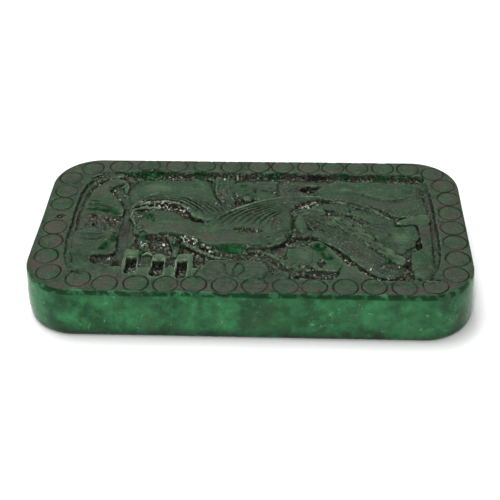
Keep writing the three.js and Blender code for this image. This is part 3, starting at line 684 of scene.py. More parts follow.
stand([(22.6, -18.6), (25, -18), (27.2, -19.6), (29.4, -21.6), (31.4, -25), (20, -25.4), (21.8, -21.4)],
      -0.04, shoulder=0.6, drop=0.25)
score([(23.2, -17.2), (22.2, -19.4), (21.6, -22.4)], 0.25, 0.35)
drill(13.8, -21.7, 5.4, 1.3, squash=0.5, torn=0.9)
drill(34.6, -21.8, 7, 0.8, squash=0.3, lean=-4, torn=0.9)

# ---------------------------------------------------------------- the bird's wings
# Both wings are raised. The far one curls forward over the back above a deep arc of ground, and
# the near one sweeps up to the right. Long flights are cut side by side with the wheel.

stand(
    [(-31.6, 3.2), (-30, 5), (-26, 5.8), (-22.4, 6), (-20.2, 5), (-18, 2.8), (-15.4, 1),
     (-12, -0.4), (-16, -2), (-26, -1.6), (-29, 0)],
    -0.75, shoulder=0.9, drop=0.3, tilt=(0, -0.05),
)
stand(
    [(-32.2, 6.2), (-31.6, 8.6), (-29.6, 10.8), (-26.8, 12.6), (-23.4, 13.2), (-20, 12.5),
     (-16.4, 11.8), (-13, 10.8), (-10, 9.2), (-7.4, 7.4), (-5, 5.2), (-7.4, 3), (-10.4, 0.8),
     (-12.2, 0.4), (-13.2, 1.8), (-15.2, 2.8), (-16.6, 4.8), (-18.2, 7), (-20.4, 8.5),
     (-23.6, 9.1), (-27, 8.7), (-29.8, 7.6)],
    -0.25, shoulder=0.7, drop=0.3, tilt=(0, 0.01),
)
rib([(-32.2, 5.4, 0.4), (-29.4, 6.7, 0.5), (-26.6, 7, 0.45), (-24.4, 6.6, 0.3)], -0.7, crown=0.3, torn=0.3)
rib([(-29.8, 8.9, 0.5), (-26, 10, 0.6), (-22, 10.1, 0.6), (-19, 8.9, 0.45)], -0.35, crown=0.25, torn=0.8)
patch(rough, -26.4, 8.6, 11, 0.8, 0.22, 4)
patch(rough, -18.6, 7.4, 7, 0.7, 0.25, -50)
for inset, depth in ((0, 0.45), (1, 0.4), (2, 0.4)):
    score([(-30, 8.4 + inset * 0.5), (-26.6, 9.9 + inset * 0.8), (-23, 10.3 + inset), (-19.4, 9.2 + inset),
           (-16.6, 7 + inset * 1.4), (-14.6 + inset * 0.6, 4.4 + inset)], 0.28, 1.4 * depth)
comb([(-19.5, 10.8), (-16.8, 8.8), (-14.2, 6), (-12.3, 3)],
     [(-12.4, 10.4), (-9.6, 8.7), (-7.2, 6.6), (-5.7, 5.2)], 6, 0.26, 0.55)
rib([(-29.4, 10.4, 0.3), (-27.4, 12, 0.35), (-25.6, 13, 0.3)], -0.05, crown=0.2)

stand(
    [(-12.4, -1.6), (-10.8, 0.6), (-8.6, 2.9), (-6, 4.8), (-3, 6.8), (0, 8.7), (3.4, 10.5), (7, 11.7),
     (10.6, 12.4), (15, 12.4), (18, 11.4), (13.6, 10), (11, 8), (10, 5), (10.4, 2), (10.2, -2),
     (8, -5), (0, -6), (-8, -5)],
    -0.12, shoulder=0.8, drop=0.35,
)
comb(
    [(-9.9, -2), (-8.3, 1.2), (-5.8, 4.1), (-2.4, 6.6), (1, 8.4), (4.5, 9.7), (7.4, 10.5)],
    [(3.9, -1.4), (4.6, 0.4), (5.2, 1.8), (5.8, 2.8), (6.6, 3.8), (7.4, 4.6), (8.2, 5.2)],
    8, 0.27, 0.6,
)
comb(
    [(-8.6, -0.4), (-7, 2.4), (-4.6, 4.9), (-1.4, 7), (2, 8.6)],
    [(2.2, 0.2), (3.4, 2), (4.6, 3.4), (6, 4.8), (7.6, 6)],
    6, 0.2, 0.14,
)
rib([(-11.6, -1.9, 0.3), (-10.2, -0.2, 0.35), (-8.2, 2.7, 0.35), (-5, 5.5, 0.35), (-1.8, 7.5, 0.35),
     (0.5, 8.9, 0.35), (3.6, 10.2, 0.35), (7.3, 11.4, 0.35), (11.8, 12, 0.35), (16, 11.9, 0.3)],
    0, crown=0.3)
stand([(-4, -2.7), (-1.4, -2.2), (1.4, -2.9), (3, -4), (1.2, -4.9), (-1.8, -4.7), (-3.8, -3.7)],
      -1.0, shoulder=0.8, drop=-0.3, wall=0.5, torn=0.9)
stand([(5.2, 2), (7.2, 2.8), (8.6, 1), (8.4, -2), (7, -4.2), (5.2, -3.6), (4.6, -0.8)],
      -0.55, shoulder=1.4, drop=-0.4, wall=0.7, torn=0.4)

# ---------------------------------------------------------------- the bird
# The body is one long smooth form with its neck stretched to the left. The head has a tube-drilled
# eye, a clear green comb above it and a pale wattle below, over rough undercut ground.

stand([(-31.8, 4.2), (-29.4, 4.8), (-27.8, 3.4), (-28.4, 0.6), (-30.2, -1)], -0.65, 0.6, 0.3, torn=0.7)
rib([(-31.4, 4, 0.3), (-31.7, 2.2, 0.35), (-30.9, 0.4, 0.3), (-30.2, -1.2, 0.25)], -0.3, crown=0.2)
stand(
    [(-30.5, -3.4), (-29.9, -1.6), (-28.6, -0.1), (-25.6, 0), (-22.6, 0.5), (-19, 0.3), (-15.4, -0.7),
     (-12.4, -1.7), (-8, -3), (0, -4.6), (6, -4.6), (9.9, -3.6), (9.8, -5.6), (8.2, -8),
     (6.4, -9.8), (4.4, -10.5), (1, -10.6), (-0.6, -10.8), (-1.2, -11.8), (-4.4, -12.2),
     (-6.8, -11.6), (-8.6, -10.9), (-11, -9.4), (-13.7, -7.7), (-16.3, -6.6), (-18.6, -6), (-21.4, -5.2),
     (-25, -5.3), (-27.4, -6), (-29.6, -5.4)],
    -0.06, shoulder=0.7, drop=0.3, wall=0.45,
)
# The back and the near wing run into each other without an edge.
joined = (flat_x > -11.5) & (flat_x < 9.4) & (np.abs(flat_y + 3.2) < 2.6) & (relief > -0.6)
edge_gap[joined] = NOWHERE
stand([(-9, -10.6), (-6.4, -9.4), (-3.4, -9.2), (-1.2, -9.6), (-0.9, -11), (-1.4, -12), (-4.6, -12.4),
       (-7.6, -11.9)], -1.0, drop=0, tilt=(0, 0.8), wall=0.8)
score([(-1, -9.2), (1, -10), (3.4, -10.2)], 0.3, 0.4)
score([(2.8, -6), (3.8, -7.4), (4.4, -9)], 0.22, 0.25)
score([(4.6, -5.6), (5.8, -7), (6.4, -8.6)], 0.22, 0.25)
score([(6.6, -5.2), (7.8, -6.2), (8.2, -7.4)], 0.22, 0.25)
rib([(5, -9.6, 0.4), (7.2, -8.1, 0.45), (8.9, -6.1, 0.45), (9.9, -4, 0.4)], -0.15, crown=0.3)
stand([(-28.7, -0.2), (-27.9, 1.8), (-27.1, 4.2), (-26.5, 4.6), (-26, 2.4), (-25.7, -0.4), (-27.2, -0.8)],
      -0.12, 0.4, 0.2)
drill(-26.8, 1.7, 1.4, 0.45, squash=1.8, lean=-6, torn=0)
score([(-27.8, -3.1), (-28.1, -2.4), (-28.8, -2.2), (-29.5, -2.5), (-29.7, -3.2), (-29.4, -3.9),
       (-28.7, -4.1), (-28, -3.8), (-27.8, -3.1)], 0.2, 0.35, tapered=False)
drill(-28.7, -3.1, 0.6, 0.15, torn=0.3)
rib([(-27.6, -5.4, 0.9), (-27.6, -8, 1.1), (-27.2, -11, 0.9), (-27.2, -13.2, 0.5)], -0.3, crown=0.6)
rib([(-26.2, -8, 0.5), (-26.2, -10.2, 0.6), (-25.8, -12.4, 0.4)], -0.6, crown=0.5)
for x, y, across, top in ((-24, -7.6, 1.6, -0.8), (-22, -8.4, 1.8, -0.9), (-22.8, -11, 2.4, -1.2),
                          (-24.8, -12.6, 1.4, -1.2), (-20.8, -12.4, 1.6, -1.3), (-24.2, -10, 1.2, -1)):
    drill(x, y, across, GROUND - top, torn=0.8)
rib([(-20.8, -6.6, 0.6), (-19.4, -8.6, 0.9), (-18.6, -11, 1), (-18.6, -14, 0.6)], -0.6, crown=0.6)
FEATHER_TIPS = [
    (-17.6, -6.6), (-16, -7), (-14.6, -7.4), (-13.6, -8.1), (-11.6, -9.8), (-10.3, -10.5), (-8.4, -11.9),
    (-1.2, -12.8),
]
for i, (x, y) in enumerate(FEATHER_TIPS):
    rib([(x - 0.4, y + 0.2, 0.35), (x + 0.4, y - 0.2 - 0.1 * (i % 2), 0.3)], -0.35, crown=0.5, wall=0.3)

# Clear green stone shows where it is thin or polished, and glows most in the hollow at the right.
# Each spot is its x and y, how far across it is, its amount, its squash and its lean.
for spot in (
    (-42.4, 5.6, 4.6, 1.1, 0.55), (-38.8, 5, 4.8, 1.1, 0.6, -18), (-35.6, 3.8, 3.4, 1, 0.7, -25),
    (-35.2, -9.2, 6.4, 1.3, 0.42, 58), (-37.2, -12, 3.4, 0.9, 0.5, 50), (-26.8, 1.8, 1.8, 2, 1.8),
    (-27.4, -7.6, 2.6, 0.9, 1.6), (-27.3, -12.4, 1.6, 1, 1.4), (-4.6, -11, 8, 1.6, 0.34, -8),
    (-4.2, -8.8, 5, 0.4, 0.5, -30), (-2.4, -11.2, 3, 0.9, 0.5), (17.5, -10.2, 4.4, 1.5, 0.9, 20),
    (19.3, -14, 4.6, 1.4, 0.6, -42), (37.8, -7, 4.4, 0.35), (34, -14.6, 5, 0.6, 0.6, -38),
    (24.8, 15.4, 4, 0.5, 0.8), (-28.6, 23, 10, 1.5, 0.3), (24, 22.9, 5, 1.1, 0.4),
    (-3, 17.8, 5, 0.62, 0.8), (-1.4, 13, 3.4, 0.7, 0.8), (-19, -9.8, 2.4, 1, 1.7, 20),
    (-14.8, 5, 2.4, 0.8, 0.7, 50), (14.2, -19, 3.4, 0.9, 0.4, 10), (5.8, 23.1, 5, 1.2, 0.4),
    (34, 22.8, 8, 0.8, 0.25), (-15, 23, 7, 0.9, 0.4), (33, -19.6, 3.4, 0.9, 0.5),
    (21.4, 13, 5, 0.3, 0.5, 10), (9.6, -5.4, 2, 0.7, 1.5, -30), (19, 2, 4, 0.4, 0.6, -20),
    (-27.6, 11.2, 3.4, 0.5, 0.4, 10), (-25, 10, 3, 0.5, 0.5), (4.6, -9.6, 3, 0.7, 0.5, 20),
    (40, 22.8, 5, 0.6, 0.4), (-42, -15, 2.4, 0.4, 1.4), (-18.4, -5.6, 3, 0.4, 0.5, -10),
    (-1.6, -8, 2, 0.3, 0.6), (-20.6, 22.2, 2.4, 0.6, 0.5), (-13, -8.2, 5, 0.5, 0.25, -38),
    (-17.6, -6.2, 4, 0.45, 0.25, -15), (-9, -10.4, 3, 0.6, 0.35, -38), (7.6, -8, 4, 0.45, 0.25, 55),
    (36.8, -8.8, 3, 0.42, 0.6), (34.8, -15.6, 3, 0.45, 0.6, -38), (-34.6, -6.8, 2.6, 0.5, 0.7, 60),
    (16.4, 4.4, 3, 0.4, 0.6, 10),
):
    patch(emerald, *spot)

# Handled places are paler (above 0) and sheltered ones are stained. Below -1 the deepest holes and pits are
# painted dark as painted shade. The pale strip along the neck's top edge is painted light, and the darker
# patch above it is painted shade.
for spot in (
    (-40, 13, 7, 0.5, 1.4, -15), (-36, 18, 4, 0.5, 0.8), (-26, 16, 13, 0.9, 0.5), (-15, 16, 8, 0.4, 0.7),
    (24.5, 16, 4.4, 1, 0.8), (33, 15.4, 14, 0.15, 0.35, -8), (-25, -21, 16, 0.5, 0.3),
    (-27.5, -8, 2.6, 0.9, 1.6), (-29, -2.6, 3.4, 0.5, 1.4), (-22, -2, 12, 0.15, 0.35, -5),
    (-22, -0.5, 14, 0.7, 0.07), (-22.4, 3, 12, -0.55, 0.3, -3), (-5, -20, 10, 0.45, 0.6),
    (20.5, 0.6, 5, 0.6, 0.8, -20), (12, 1, 3, 0.5, 1.8, 10), (28, -5, 3.4, 0.6, 0.8),
    (34, -12.4, 7, 0.6, 0.5, -38), (36, -16.6, 4.4, 0.6, 0.8), (40.4, -3, 4.6, 0.4, 1.2),
    (37.6, -6.4, 5.4, 0.8, 1.1), (13, -13, 8, 0.6, 0.9), (26, -21, 6, 0.5, 0.7, -20),
    (43, -14, 4.4, 0.15, 1.8, -8), (41.4, 2, 5, -0.28, 0.5, 20), (30, 17.4, 16, -0.16, 0.3),
    (8, 19, 14, -0.2, 0.3), (3.2, 17, 5, 0.5, 0.7), (2.6, 12.4, 3.4, 0.4), (-21, 11.2, 12, 0.4, 0.25),
    (15, 12.2, 8, 0.7, 0.2), (-3.4, -7, 13, 0.35, 0.5, -10), (-41, 1, 9, -0.9, 0.8),
    (-42, -9, 7, -0.5, 0.7), (-32.6, -3, 4, -1.4, 3.6), (-32.6, -16, 3.4, -1.2, 2),
    (-32.6, -18, 2.6, -1.2, 0.7), (-33, 13, 4, -0.7, 1.7, 20), (-8, 15, 5.4, -0.8, 1.5),
    (-26.4, 8.5, 12, -0.9, 0.2, 4), (-18.4, 7.2, 7, -0.9, 0.2, -50), (-30, 6, 4, -0.8, 0.4, 20),
    (16, 21.6, 13, -1, 0.3), (-18, 21.4, 5, -0.6, 0.6), (-10, 21.6, 4, -0.5, 0.7),
    (8, 21.6, 5, -0.7, 0.6), (13, 17, 14, -1, 0.42), (23.6, 12.4, 10, -0.5, 0.3, -8),
    (34, 8.6, 12, -0.5, 0.35, -12), (41, 9, 7, -0.45, 0.6, 40), (-41.4, 2.6, 1.6, -1.8, 1.6, 40),
    (-40.8, -1.2, 1.8, -1.8, 0.8), (-37.6, 0.8, 1.2, -1.4, 1.6, 50), (8, 14, 5, -0.6),
    (6.4, 0, 5.4, -0.7, 1.7), (1, 5, 8, -0.4, 0.8, 40), (27, -11.6, 14, -1, 0.34, -48),
    (41.5, 1.8, 7, -0.7, 0.35, 22), (43.8, -4, 3.4, -0.9, 2.2), (46.3, 0, 3, -0.8, 12),
    (-45.6, 0, 3, -0.8, 12), (7.6, -11.6, 5, -0.9, 0.9), (5, -16, 9, -0.9, 0.4, -45),
    (-50.6, -2, 9, -0.5, 3.4), (51.4, 2, 9, -0.6, 3.6), (3, -20, 6, -0.4, 0.8),
    (15.2, 16.9, 6.4, -2.4, 0.4, 8), (42.5, -8.4, 2.4, -2.4, 1.6, -15), (17.8, -17.4, 2.4, -1.6, 1.4),
    (-38, -16.2, 2.6, -1.6, 1.2), (13, -21.4, 6, -1.4, 0.3), (34, -21.8, 7, -1.2, 0.25),
    (16, 22.7, 13, -1.6, 0.12), (-3.4, 10.8, 3.4, -1.6, 0.6), (37.8, -12.8, 2.2, -2, 1.4, -40),
    (6.4, -10.2, 3, -1.4, 0.6, 20), (-37.6, 14.6, 2.4, -1.2, 1.2), (39, -17.6, 1.6, -1.6, 2),
    (-33.4, -17, 2, -1.2, 2), (-12.3, -15, 2.4, -1, 2.4), (0, -4.6, 6, -1.2, 0.2),
    (-20, 22.4, 6, -1, 0.2), (-14, 27, 30, -0.4, 0.2), (30, 27, 16, -0.4, 0.4), (20, -27, 30, -0.4, 0.2),
    (-46, -23, 9, -0.3, 0.8),
):
    patch(tone_and_painted_light, *spot)

# A chipped pit with smaller holes in it stands for a ring at the left, and a faint one at the right.
for x, y, across, depth in (
    (-50.2, 1.2, 2.1, 0.5), (-50.6, 1.6, 0.8, 0.5), (-49.8, 0.7, 0.9, 0.5), (-49.2, 1.6, 0.6, 0.3),
    (-51.2, 0.6, 0.6, 0.3), (48.5, 1.8, 1, 0.25),
):
    drill(x, y, across, depth, torn=1.0)

# Some forms are torn as well as the ground, and in places (above 1) whitish painted glints are laid on the
# stone.
for spot in (
    (14, 8.6, 10, 0.6, 0.5), (20, 9.6, 10, 0.6, 0.25, -10), (15, 1.6, 8, 0.45, 0.9),
    (21, 3, 10, 0.5, 0.4, -35), (24, -8, 16, 0.3, 0.4, -48), (34, -17, 8, 0.5, 0.5, -30),
    (31, 7, 9, 0.5, 0.25, -40), (4, 1, 9, 0.25, 0.9, 30), (7, 9, 10, 0.5, 0.3, 15),
    (-28, 5, 8, 0.5, 0.4, 10), (36, 6.6, 8, 0.6, 0.4, -20), (5.6, -8, 5, 0.4, 0.6, 30),
    (41, -5.6, 4, 0.4), (12.6, -18, 6, 0.4, 0.4), (-36, 1, 6, 0.5), (-41, 1, 6, 0.4, 0.9),
    (-9.3, 13, 1.3, 1.6, 2.2, 25), (-8, 10.6, 1.2, 1.6, 2, 35), (-5, 21.4, 1, 1.7, 2),
    (-0.8, 12.2, 1, 1.7, 1.6), (0.4, -12, 1.3, 1.8, 0.8), (-26.6, -9.6, 1, 1.8, 1.8),
    (-19, -9.4, 1, 1.7, 1.6, 10), (-35.4, 16.6, 1.2, 1.6, 1.6, 20), (-35.4, 0.6, 1.1, 1.6, 1.8, 20),
    (8.8, -6.2, 1.2, 1.6, 1.4, -40), (4.4, -6.6, 1, 1.5), (13.8, -12, 0.9, 1.7), (35.2, -4.8, 1, 1.6),
    (36.8, -17.6, 1.2, 1.6, 0.8), (30, -18.2, 1.4, 1.6, 0.8), (42.6, 20, 2.2, 1.4, 0.5, -30),
):
    patch(rough, *spot)

PAINTED_GLINT_LEVEL = 1.1  # where the torn amount is raised this high, painted glints are laid
for x, y, across, *shape in (
    (-15.5, -7.4, 8, 0.25, -22), (-15.5, -7.2, 6, 0.2, -22), (-10.4, -10.4, 5, 0.3, -38),
    (-9.6, -11, 3, 0.3, -38), (-27, -9.8, 2, 1.6), (-1.2, -11.4, 2.2, 0.8), (-36.2, -9, 2, 1, 50),
    (-37.2, 13.8, 2.4, 1.2), (-34.8, 12.6, 1.8, 1.6), (-38.4, 19.9, 4, 0.4, -10),
    (-24.6, 8.9, 9, 0.2, -2), (-17.6, 6.6, 5, 0.25, -50), (-18, 2, 3, 0.4, -60), (-27.2, -10, 2, 1.6),
    (0.6, -12.2, 2.4, 0.6), (-12.6, -9.2, 5, 0.2, -38), (-7.6, -12, 3, 0.3, -30),
    (-16.4, -6.8, 5, 0.2, -20), (-28, -11.6, 1.6, 1.4), (9, -8, 3, 0.3, 60), (30.6, 5, 5, 0.2, -40),
    (17, 8.4, 5, 0.2), (24.4, -14.4, 5, 0.25, -50), (28.6, -18.8, 4, 0.3, -45), (33.4, -20.6, 4, 0.3),
    (13.8, -18.4, 4, 0.25), (-8.4, 21.4, 3, 0.6), (-22.4, -8.4, 3, 0.6), (-19, -11.6, 1.6, 1.4, 10),
    (-42.6, 18.4, 4, 0.3, 50), (-3, 20.6, 3, 0.4), (12, 12.4, 6, 0.15, 5), (23, 10.6, 4, 0.2, -15),
    (27.4, 1.6, 6, 0.15, -50), (18, -15.6, 2, 0.4, -40), (41, 3, 4, 0.2, 20), (3, -12.4, 4, 0.25, -10),
    (-34.4, -14.6, 2), (38.4, -13.6, 2, 0.8, -40), (43.6, 9.6, 3, 0.5, 60),
):
    patch(rough, x, y, across, PAINTED_GLINT_LEVEL, *shape)

# Carved stone is never quite even, and torn stone is pitted.
carved_away = relief < -0.03
for size, depth, seed in ((3.4, 0.05, 21), (1.1, 0.05, 22), (0.5, 0.03, 23)):
    relief += depth * lumps(map_x, map_y, size, seed) * carved_away
pitting = 0.2 * lumps(flat_x, flat_y, 0.9, 24) + 0.12 * lumps(flat_x, flat_y, 0.45, 25)
relief += np.minimum(rough, 1) * pitting

# ---------------------------------------------------------------- the slab
# One block sawn from green jade, its corners rounded in plan, its sides slightly bellied and
# polished, with a small round along the top edge and a larger one round the foot.

TOP_INSET = 1.2  # the top's grid ends this far inside the outline
CORNER_RADIUS = 13.0
EDGE_ROUND = 0.7
FOOT_ROUND = 1.2
BELLY_HEIGHT = 5.0  # the sides stand furthest out here
TOP_DRAW = 0.5  # how far the sides draw in from there to the top edge
FOOT_DRAW = 0.12
HAND_UNEVEN = 0.05  # how far the top strays from flat, and the sides by more
SIDE_UNEVEN = 0.12
SPACING = 0.17
KEPT_SHARE = 0.34  # of the triangles, after flat places are thinned


def spread(half):
    return np.linspace(-half, half, int(round(2 * half / SPACING)) + 1)


def round_corners(x, y, half_length, half_width, radius):
    """Draws a rectangle's grid in at its corners, so that its edge follows a rounded outline."""
    a = np.maximum(np.abs(x) - (half_length - radius), 0)
    b = np.maximum(np.abs(y) - (half_width - radius), 0)
    reach = np.maximum(a, b)
    angle = math.pi / 4 * np.minimum(a, b) / np.maximum(reach, 1e-9)
    angle = np.where(a >= b, angle, math.pi / 2 - angle)
    corner = (a > 0) & (b > 0)
    new_a = np.where(corner, reach * np.cos(angle), a)
    new_b = np.where(corner, reach * np.sin(angle), b)
    new_x = np.sign(x) * np.where(a > 0, half_length - radius + new_a, np.abs(x))
    new_y = np.sign(y) * np.where(b > 0, half_width - radius + new_b, np.abs(y))
    return new_x, new_y


def sample(field, x, y):
    """A map's value at any place, 0 outside the map."""
    u, v = (x - xs[0]) / GRID, (y - ys[0]) / GRID
    i = np.clip(np.floor(u).astype(int), 0, len(xs) - 2)
    j = np.clip(np.floor(v).astype(int), 0, len(ys) - 2)
    s, t = u - i, v - j
    value = (field[j, i] * (1 - s) + field[j, i + 1] * s) * (1 - t)
    value += (field[j + 1, i] * (1 - s) + field[j + 1, i + 1] * s) * t
    return np.where((s >= 0) & (s <= 1) & (t >= 0) & (t <= 1), value, 0)


half_length, half_width = length / 2 - TOP_INSET, width / 2 - TOP_INSET
grid_x, grid_y = np.meshgrid(spread(half_length), spread(half_width))
rows, columns = grid_x.shape
top_x, top_y = round_corners(grid_x, grid_y, half_length, half_width, CORNER_RADIUS - TOP_INSET)
top_relief = sample(relief, top_x, top_y)
top_z = thickness + top_relief
top_z -= HAND_UNEVEN * (1 + lumps(top_x, top_y, 9, 31)) * (top_relief > -0.02)
vertices = [np.stack([top_x, top_y, top_z], -1).reshape(-1, 3)]

number = np.arange(rows * columns).reshape(rows, columns)
quads = [np.stack([number[:-1, :-1], number[:-1, 1:], number[1:, 1:], number[1:, :-1]], -1).reshape(-1, 4)]
loop = np.concatenate([number[0, :-1], number[:-1, -1], number[-1, :0:-1], number[:0:-1, 0]])
rim = vertices[0][loop]
core_half = np.array([half_length, half_width]) - CORNER_RADIUS + TOP_INSET
normal = rim[:, :2] - np.clip(rim[:, :2], -core_half, core_half)
normal /= np.linalg.norm(normal, axis=1)[:, None]

# The side's profile from the top edge down to the underside, as height and inset.
quarter = [math.pi / 2 * share / 5 for share in range(1, 6)]
side = []
for t in quarter:
    side.append((thickness - EDGE_ROUND * (1 - math.cos(t)), TOP_DRAW + EDGE_ROUND * (1 - math.sin(t))))
for z in np.linspace(thickness - 2, BELLY_HEIGHT, 8):
    side.append((z, TOP_DRAW * ((z - BELLY_HEIGHT) / (thickness - BELLY_HEIGHT)) ** 1.5))
for z in (4, 3, 2, FOOT_ROUND):
    side.append((z, FOOT_DRAW * (1 - (z - FOOT_ROUND) / (BELLY_HEIGHT - FOOT_ROUND)) ** 2))
for t in quarter:
    side.append((FOOT_ROUND * (1 - math.sin(t)), FOOT_DRAW + (FOOT_ROUND - FOOT_DRAW) * (1 - math.cos(t))))
side += [(0, 1.8), (0, 4), (0, 9)]  # rings of the flat underside
for z, inset in side:
    wobble = SIDE_UNEVEN * (lumps(rim[:, 0] + 40, rim[:, 1] + 2 * z, 14, 33) * min(1, z / 3) - 1)
    place = rim[:, :2] + normal * (TOP_INSET - inset + wobble * (z > 0.01))[:, None]
    layer = np.column_stack([place, np.full(len(rim), z)])
    next_loop = sum(map(len, vertices)) + np.arange(len(rim))
    quads.append(np.stack([loop, next_loop, np.roll(next_loop, -1), np.roll(loop, -1)], -1))
    vertices.append(layer)
    loop = next_loop

vertices = np.concatenate(vertices) * MM
faces = [tuple(q) for q in np.concatenate(quads).tolist()]
faces.append(tuple(loop[::-1].tolist()))
slab_mesh = bpy.data.meshes.new("carved_jade")
slab_mesh.from_pydata(vertices.tolist(), [], faces)
slab_mesh.update()
stone = bpy.data.objects.new("carved_jade", slab_mesh)
bpy.context.scene.collection.objects.link(stone)

# ---------------------------------------------------------------- the ring border
# Small circles cut round the border with a tube drill, stepped along each side by eye, so that the
# rows run a little uneven. A chipped pit stands in for one ring at the left.

RING_RADIUS = 3.0
RING_ROWS = [  # the first and last centre, and how many rings
    ((-33.8, -26.3), (37.5, -26.3), 11),
    ((44.8, -25.4), (50.1, -20.7), 2),
    ((50.9, -14.4), (51.4, 11.5), 5),
    ((50.8, 17.8), (48.5, 23.7), 2),
    ((41.9, 26.1), (7.5, 26.6), 6),
    ((1, 26.5), (-29.9, 26.3), 5),
    ((-37.5, 25.6), (-45.2, 24.5), 2),
    ((-50.5, 19.2), (-50.8, 6.9), 3),
    ((-50.8, -3.8), (-50.5, -16), 3),
    ((-48.4, -22.5), (-40.8, -25), 2),
]


def add(tree, kind, settings=None, links=None):
    """Adds a node with its settings. Each input given in links is linked or set."""
    added = tree.nodes.new(kind)
    for key, value in (settings or {}).items():
        setattr(added, key, value)
    for key, value in (links or {}).items():
        if isinstance(value, bpy.types.NodeSocket):
            tree.links.new(value, added.inputs[key])
        else:
            added.inputs[key].default_value = value
    return added


jade = bpy.data.materials.new("polished and worn nephrite")
jade.use_nodes = True

rings = bpy.data.node_groups.new("drilled ring border", "GeometryNodeTree")
rings.interface.new_socket("Geometry", in_out="OUTPUT", socket_type="NodeSocketGeometry")
rings.interface.new_socket("Geometry", in_out="INPUT", socket_type="NodeSocketGeometry")
ring_sizes = {
    "Radius": RING_RADIUS * MM,
    "Groove half width": 0.3 * MM,
    "Groove depth": 0.16 * MM,
    "Top height": thickness * MM,
    "Unevenness": 0.28 * MM,
}
sockets = {
    label: rings.interface.new_socket(label, in_out="INPUT", socket_type="NodeSocketFloat").identifier
    for label in ring_sizes
}
group_in = add(rings, "NodeGroupInput")
given = group_in.outputs
rows_joined = add(rings, "GeometryNodeJoinGeometry")
for first, last, count in RING_ROWS:
    start = Vector((*first, thickness)) * MM
    step = (Vector((*last, thickness)) * MM - start) / (count - 1)
    line = add(rings, "GeometryNodeMeshLine", {"mode": "OFFSET"}, {
        "Count": count, "Start Location": start, "Offset": step,
    })
    rings.links.new(line.outputs["Mesh"], rows_joined.inputs["Geometry"])
slip = add(rings, "FunctionNodeRandomValue", {"data_type": "FLOAT_VECTOR"}, {
    "Min": (-1, -1, 0), "Max": (1, 1, 0), "Seed": 7,
})
slipped = add(rings, "ShaderNodeVectorMath", {"operation": "SCALE"}, {
    "Vector": slip.outputs["Value"], "Scale": given["Unevenness"],
})
centres = add(rings, "GeometryNodeSetPosition", links={
    "Geometry": rows_joined.outputs["Geometry"], "Offset": slipped.outputs["Vector"],
})
near = add(rings, "GeometryNodeProximity", {"target_element": "POINTS"}, {
    "Geometry": centres.outputs["Geometry"],
})
place = add(rings, "GeometryNodeInputPosition")
waver = add(rings, "ShaderNodeTexNoise", links={"Vector": place.outputs["Position"], "Scale": 1 / (4 * MM)})
waver_size = add(rings, "ShaderNodeMapRange", links={
    "Value": waver.outputs[0], "To Min": -0.35 * MM, "To Max": 0.35 * MM,
})
true_radius = add(rings, "ShaderNodeMath", links={0: given["Radius"], 1: waver_size.outputs["Result"]})
from_groove = add(rings, "ShaderNodeMath", {"operation": "SUBTRACT"}, {
    0: near.outputs["Distance"], 1: true_radius.outputs["Value"],
})
off_groove = add(rings, "ShaderNodeMath", {"operation": "ABSOLUTE"}, {0: from_groove.outputs["Value"]})
cut_depth = add(rings, "ShaderNodeMapRange", {"interpolation_type": "SMOOTHSTEP"}, {
    "Value": off_groove.outputs["Value"], "From Min": 0.0, "From Max": given["Groove half width"],
    "To Min": given["Groove depth"], "To Max": 0.0,
})
downward = add(rings, "ShaderNodeCombineXYZ")
sunk = add(rings, "ShaderNodeMath", {"operation": "MULTIPLY"}, {0: cut_depth.outputs["Result"], 1: -1.0})
rings.links.new(sunk.outputs["Value"], downward.inputs["Z"])
height_now = add(rings, "ShaderNodeSeparateXYZ", links={"Vector": place.outputs["Position"]})
below_top = add(rings, "ShaderNodeMath", {"operation": "SUBTRACT"}, {
    0: given["Top height"], 1: height_now.outputs["Z"],
})
on_border = add(rings, "FunctionNodeCompare", {"operation": "LESS_THAN"}, {
    "A": below_top.outputs["Value"], "B": 0.4 * MM,
})
marked = add(rings, "GeometryNodeStoreNamedAttribute", {"data_type": "FLOAT"}, {
    "Geometry": given["Geometry"], "Name": "from ring", "Value": from_groove.outputs["Value"],
})
grooved = add(rings, "GeometryNodeSetPosition", links={
    "Geometry": marked.outputs["Geometry"],
    "Selection": on_border.outputs["Result"],
    "Offset": downward.outputs["Vector"],
})
realized = add(rings, "GeometryNodeRealizeInstances", links={"Geometry": grooved.outputs["Geometry"]})
finished = add(rings, "GeometryNodeSetMaterial", links={
    "Geometry": realized.outputs["Geometry"], "Material": jade,
})
add(rings, "NodeGroupOutput", links={"Geometry": finished.outputs["Geometry"]})

drilling = stone.modifiers.new("drilled rings", "NODES")
drilling.node_group = rings
for label, size in ring_sizes.items():
    drilling[sockets[label]] = size
thin = stone.modifiers.new("thin", "DECIMATE")
thin.ratio = KEPT_SHARE
bpy.context.view_layer.update()
solid = bpy.data.meshes.new_from_object(stone.evaluated_get(bpy.context.evaluated_depsgraph_get()))
stone.modifiers.clear()
stone.data = solid
solid.materials.clear()
solid.materials.append(jade)
solid.shade_smooth()

# ---------------------------------------------------------------- the jade's finish
# Nephrite, wheel-cut and hand polished. The sides keep a clear green polish with paler clouds; the
# top has worn to satin under a grey-brown film, and the torn ground holds dirt and sparkles.
# Painted shade darkens the walls, hollows and deepest holes, painted highlights pale the rims,
# and whitish painted glints lie on the torn ground.

coordinates = np.empty(len(solid.vertices) * 3)
solid.vertices.foreach_get("co", coordinates)
x, y, z = coordinates.reshape(-1, 3).T / MM
core_x = np.maximum(np.abs(x) - (length / 2 - CORNER_RADIUS), 0)
core_y = np.maximum(np.abs(y) - (width / 2 - CORNER_RADIUS), 0)
from_edge = CORNER_RADIUS - np.hypot(core_x, core_y)
on_top = (z > thickness - 5) * ease((from_edge - 0.8) / 0.5)


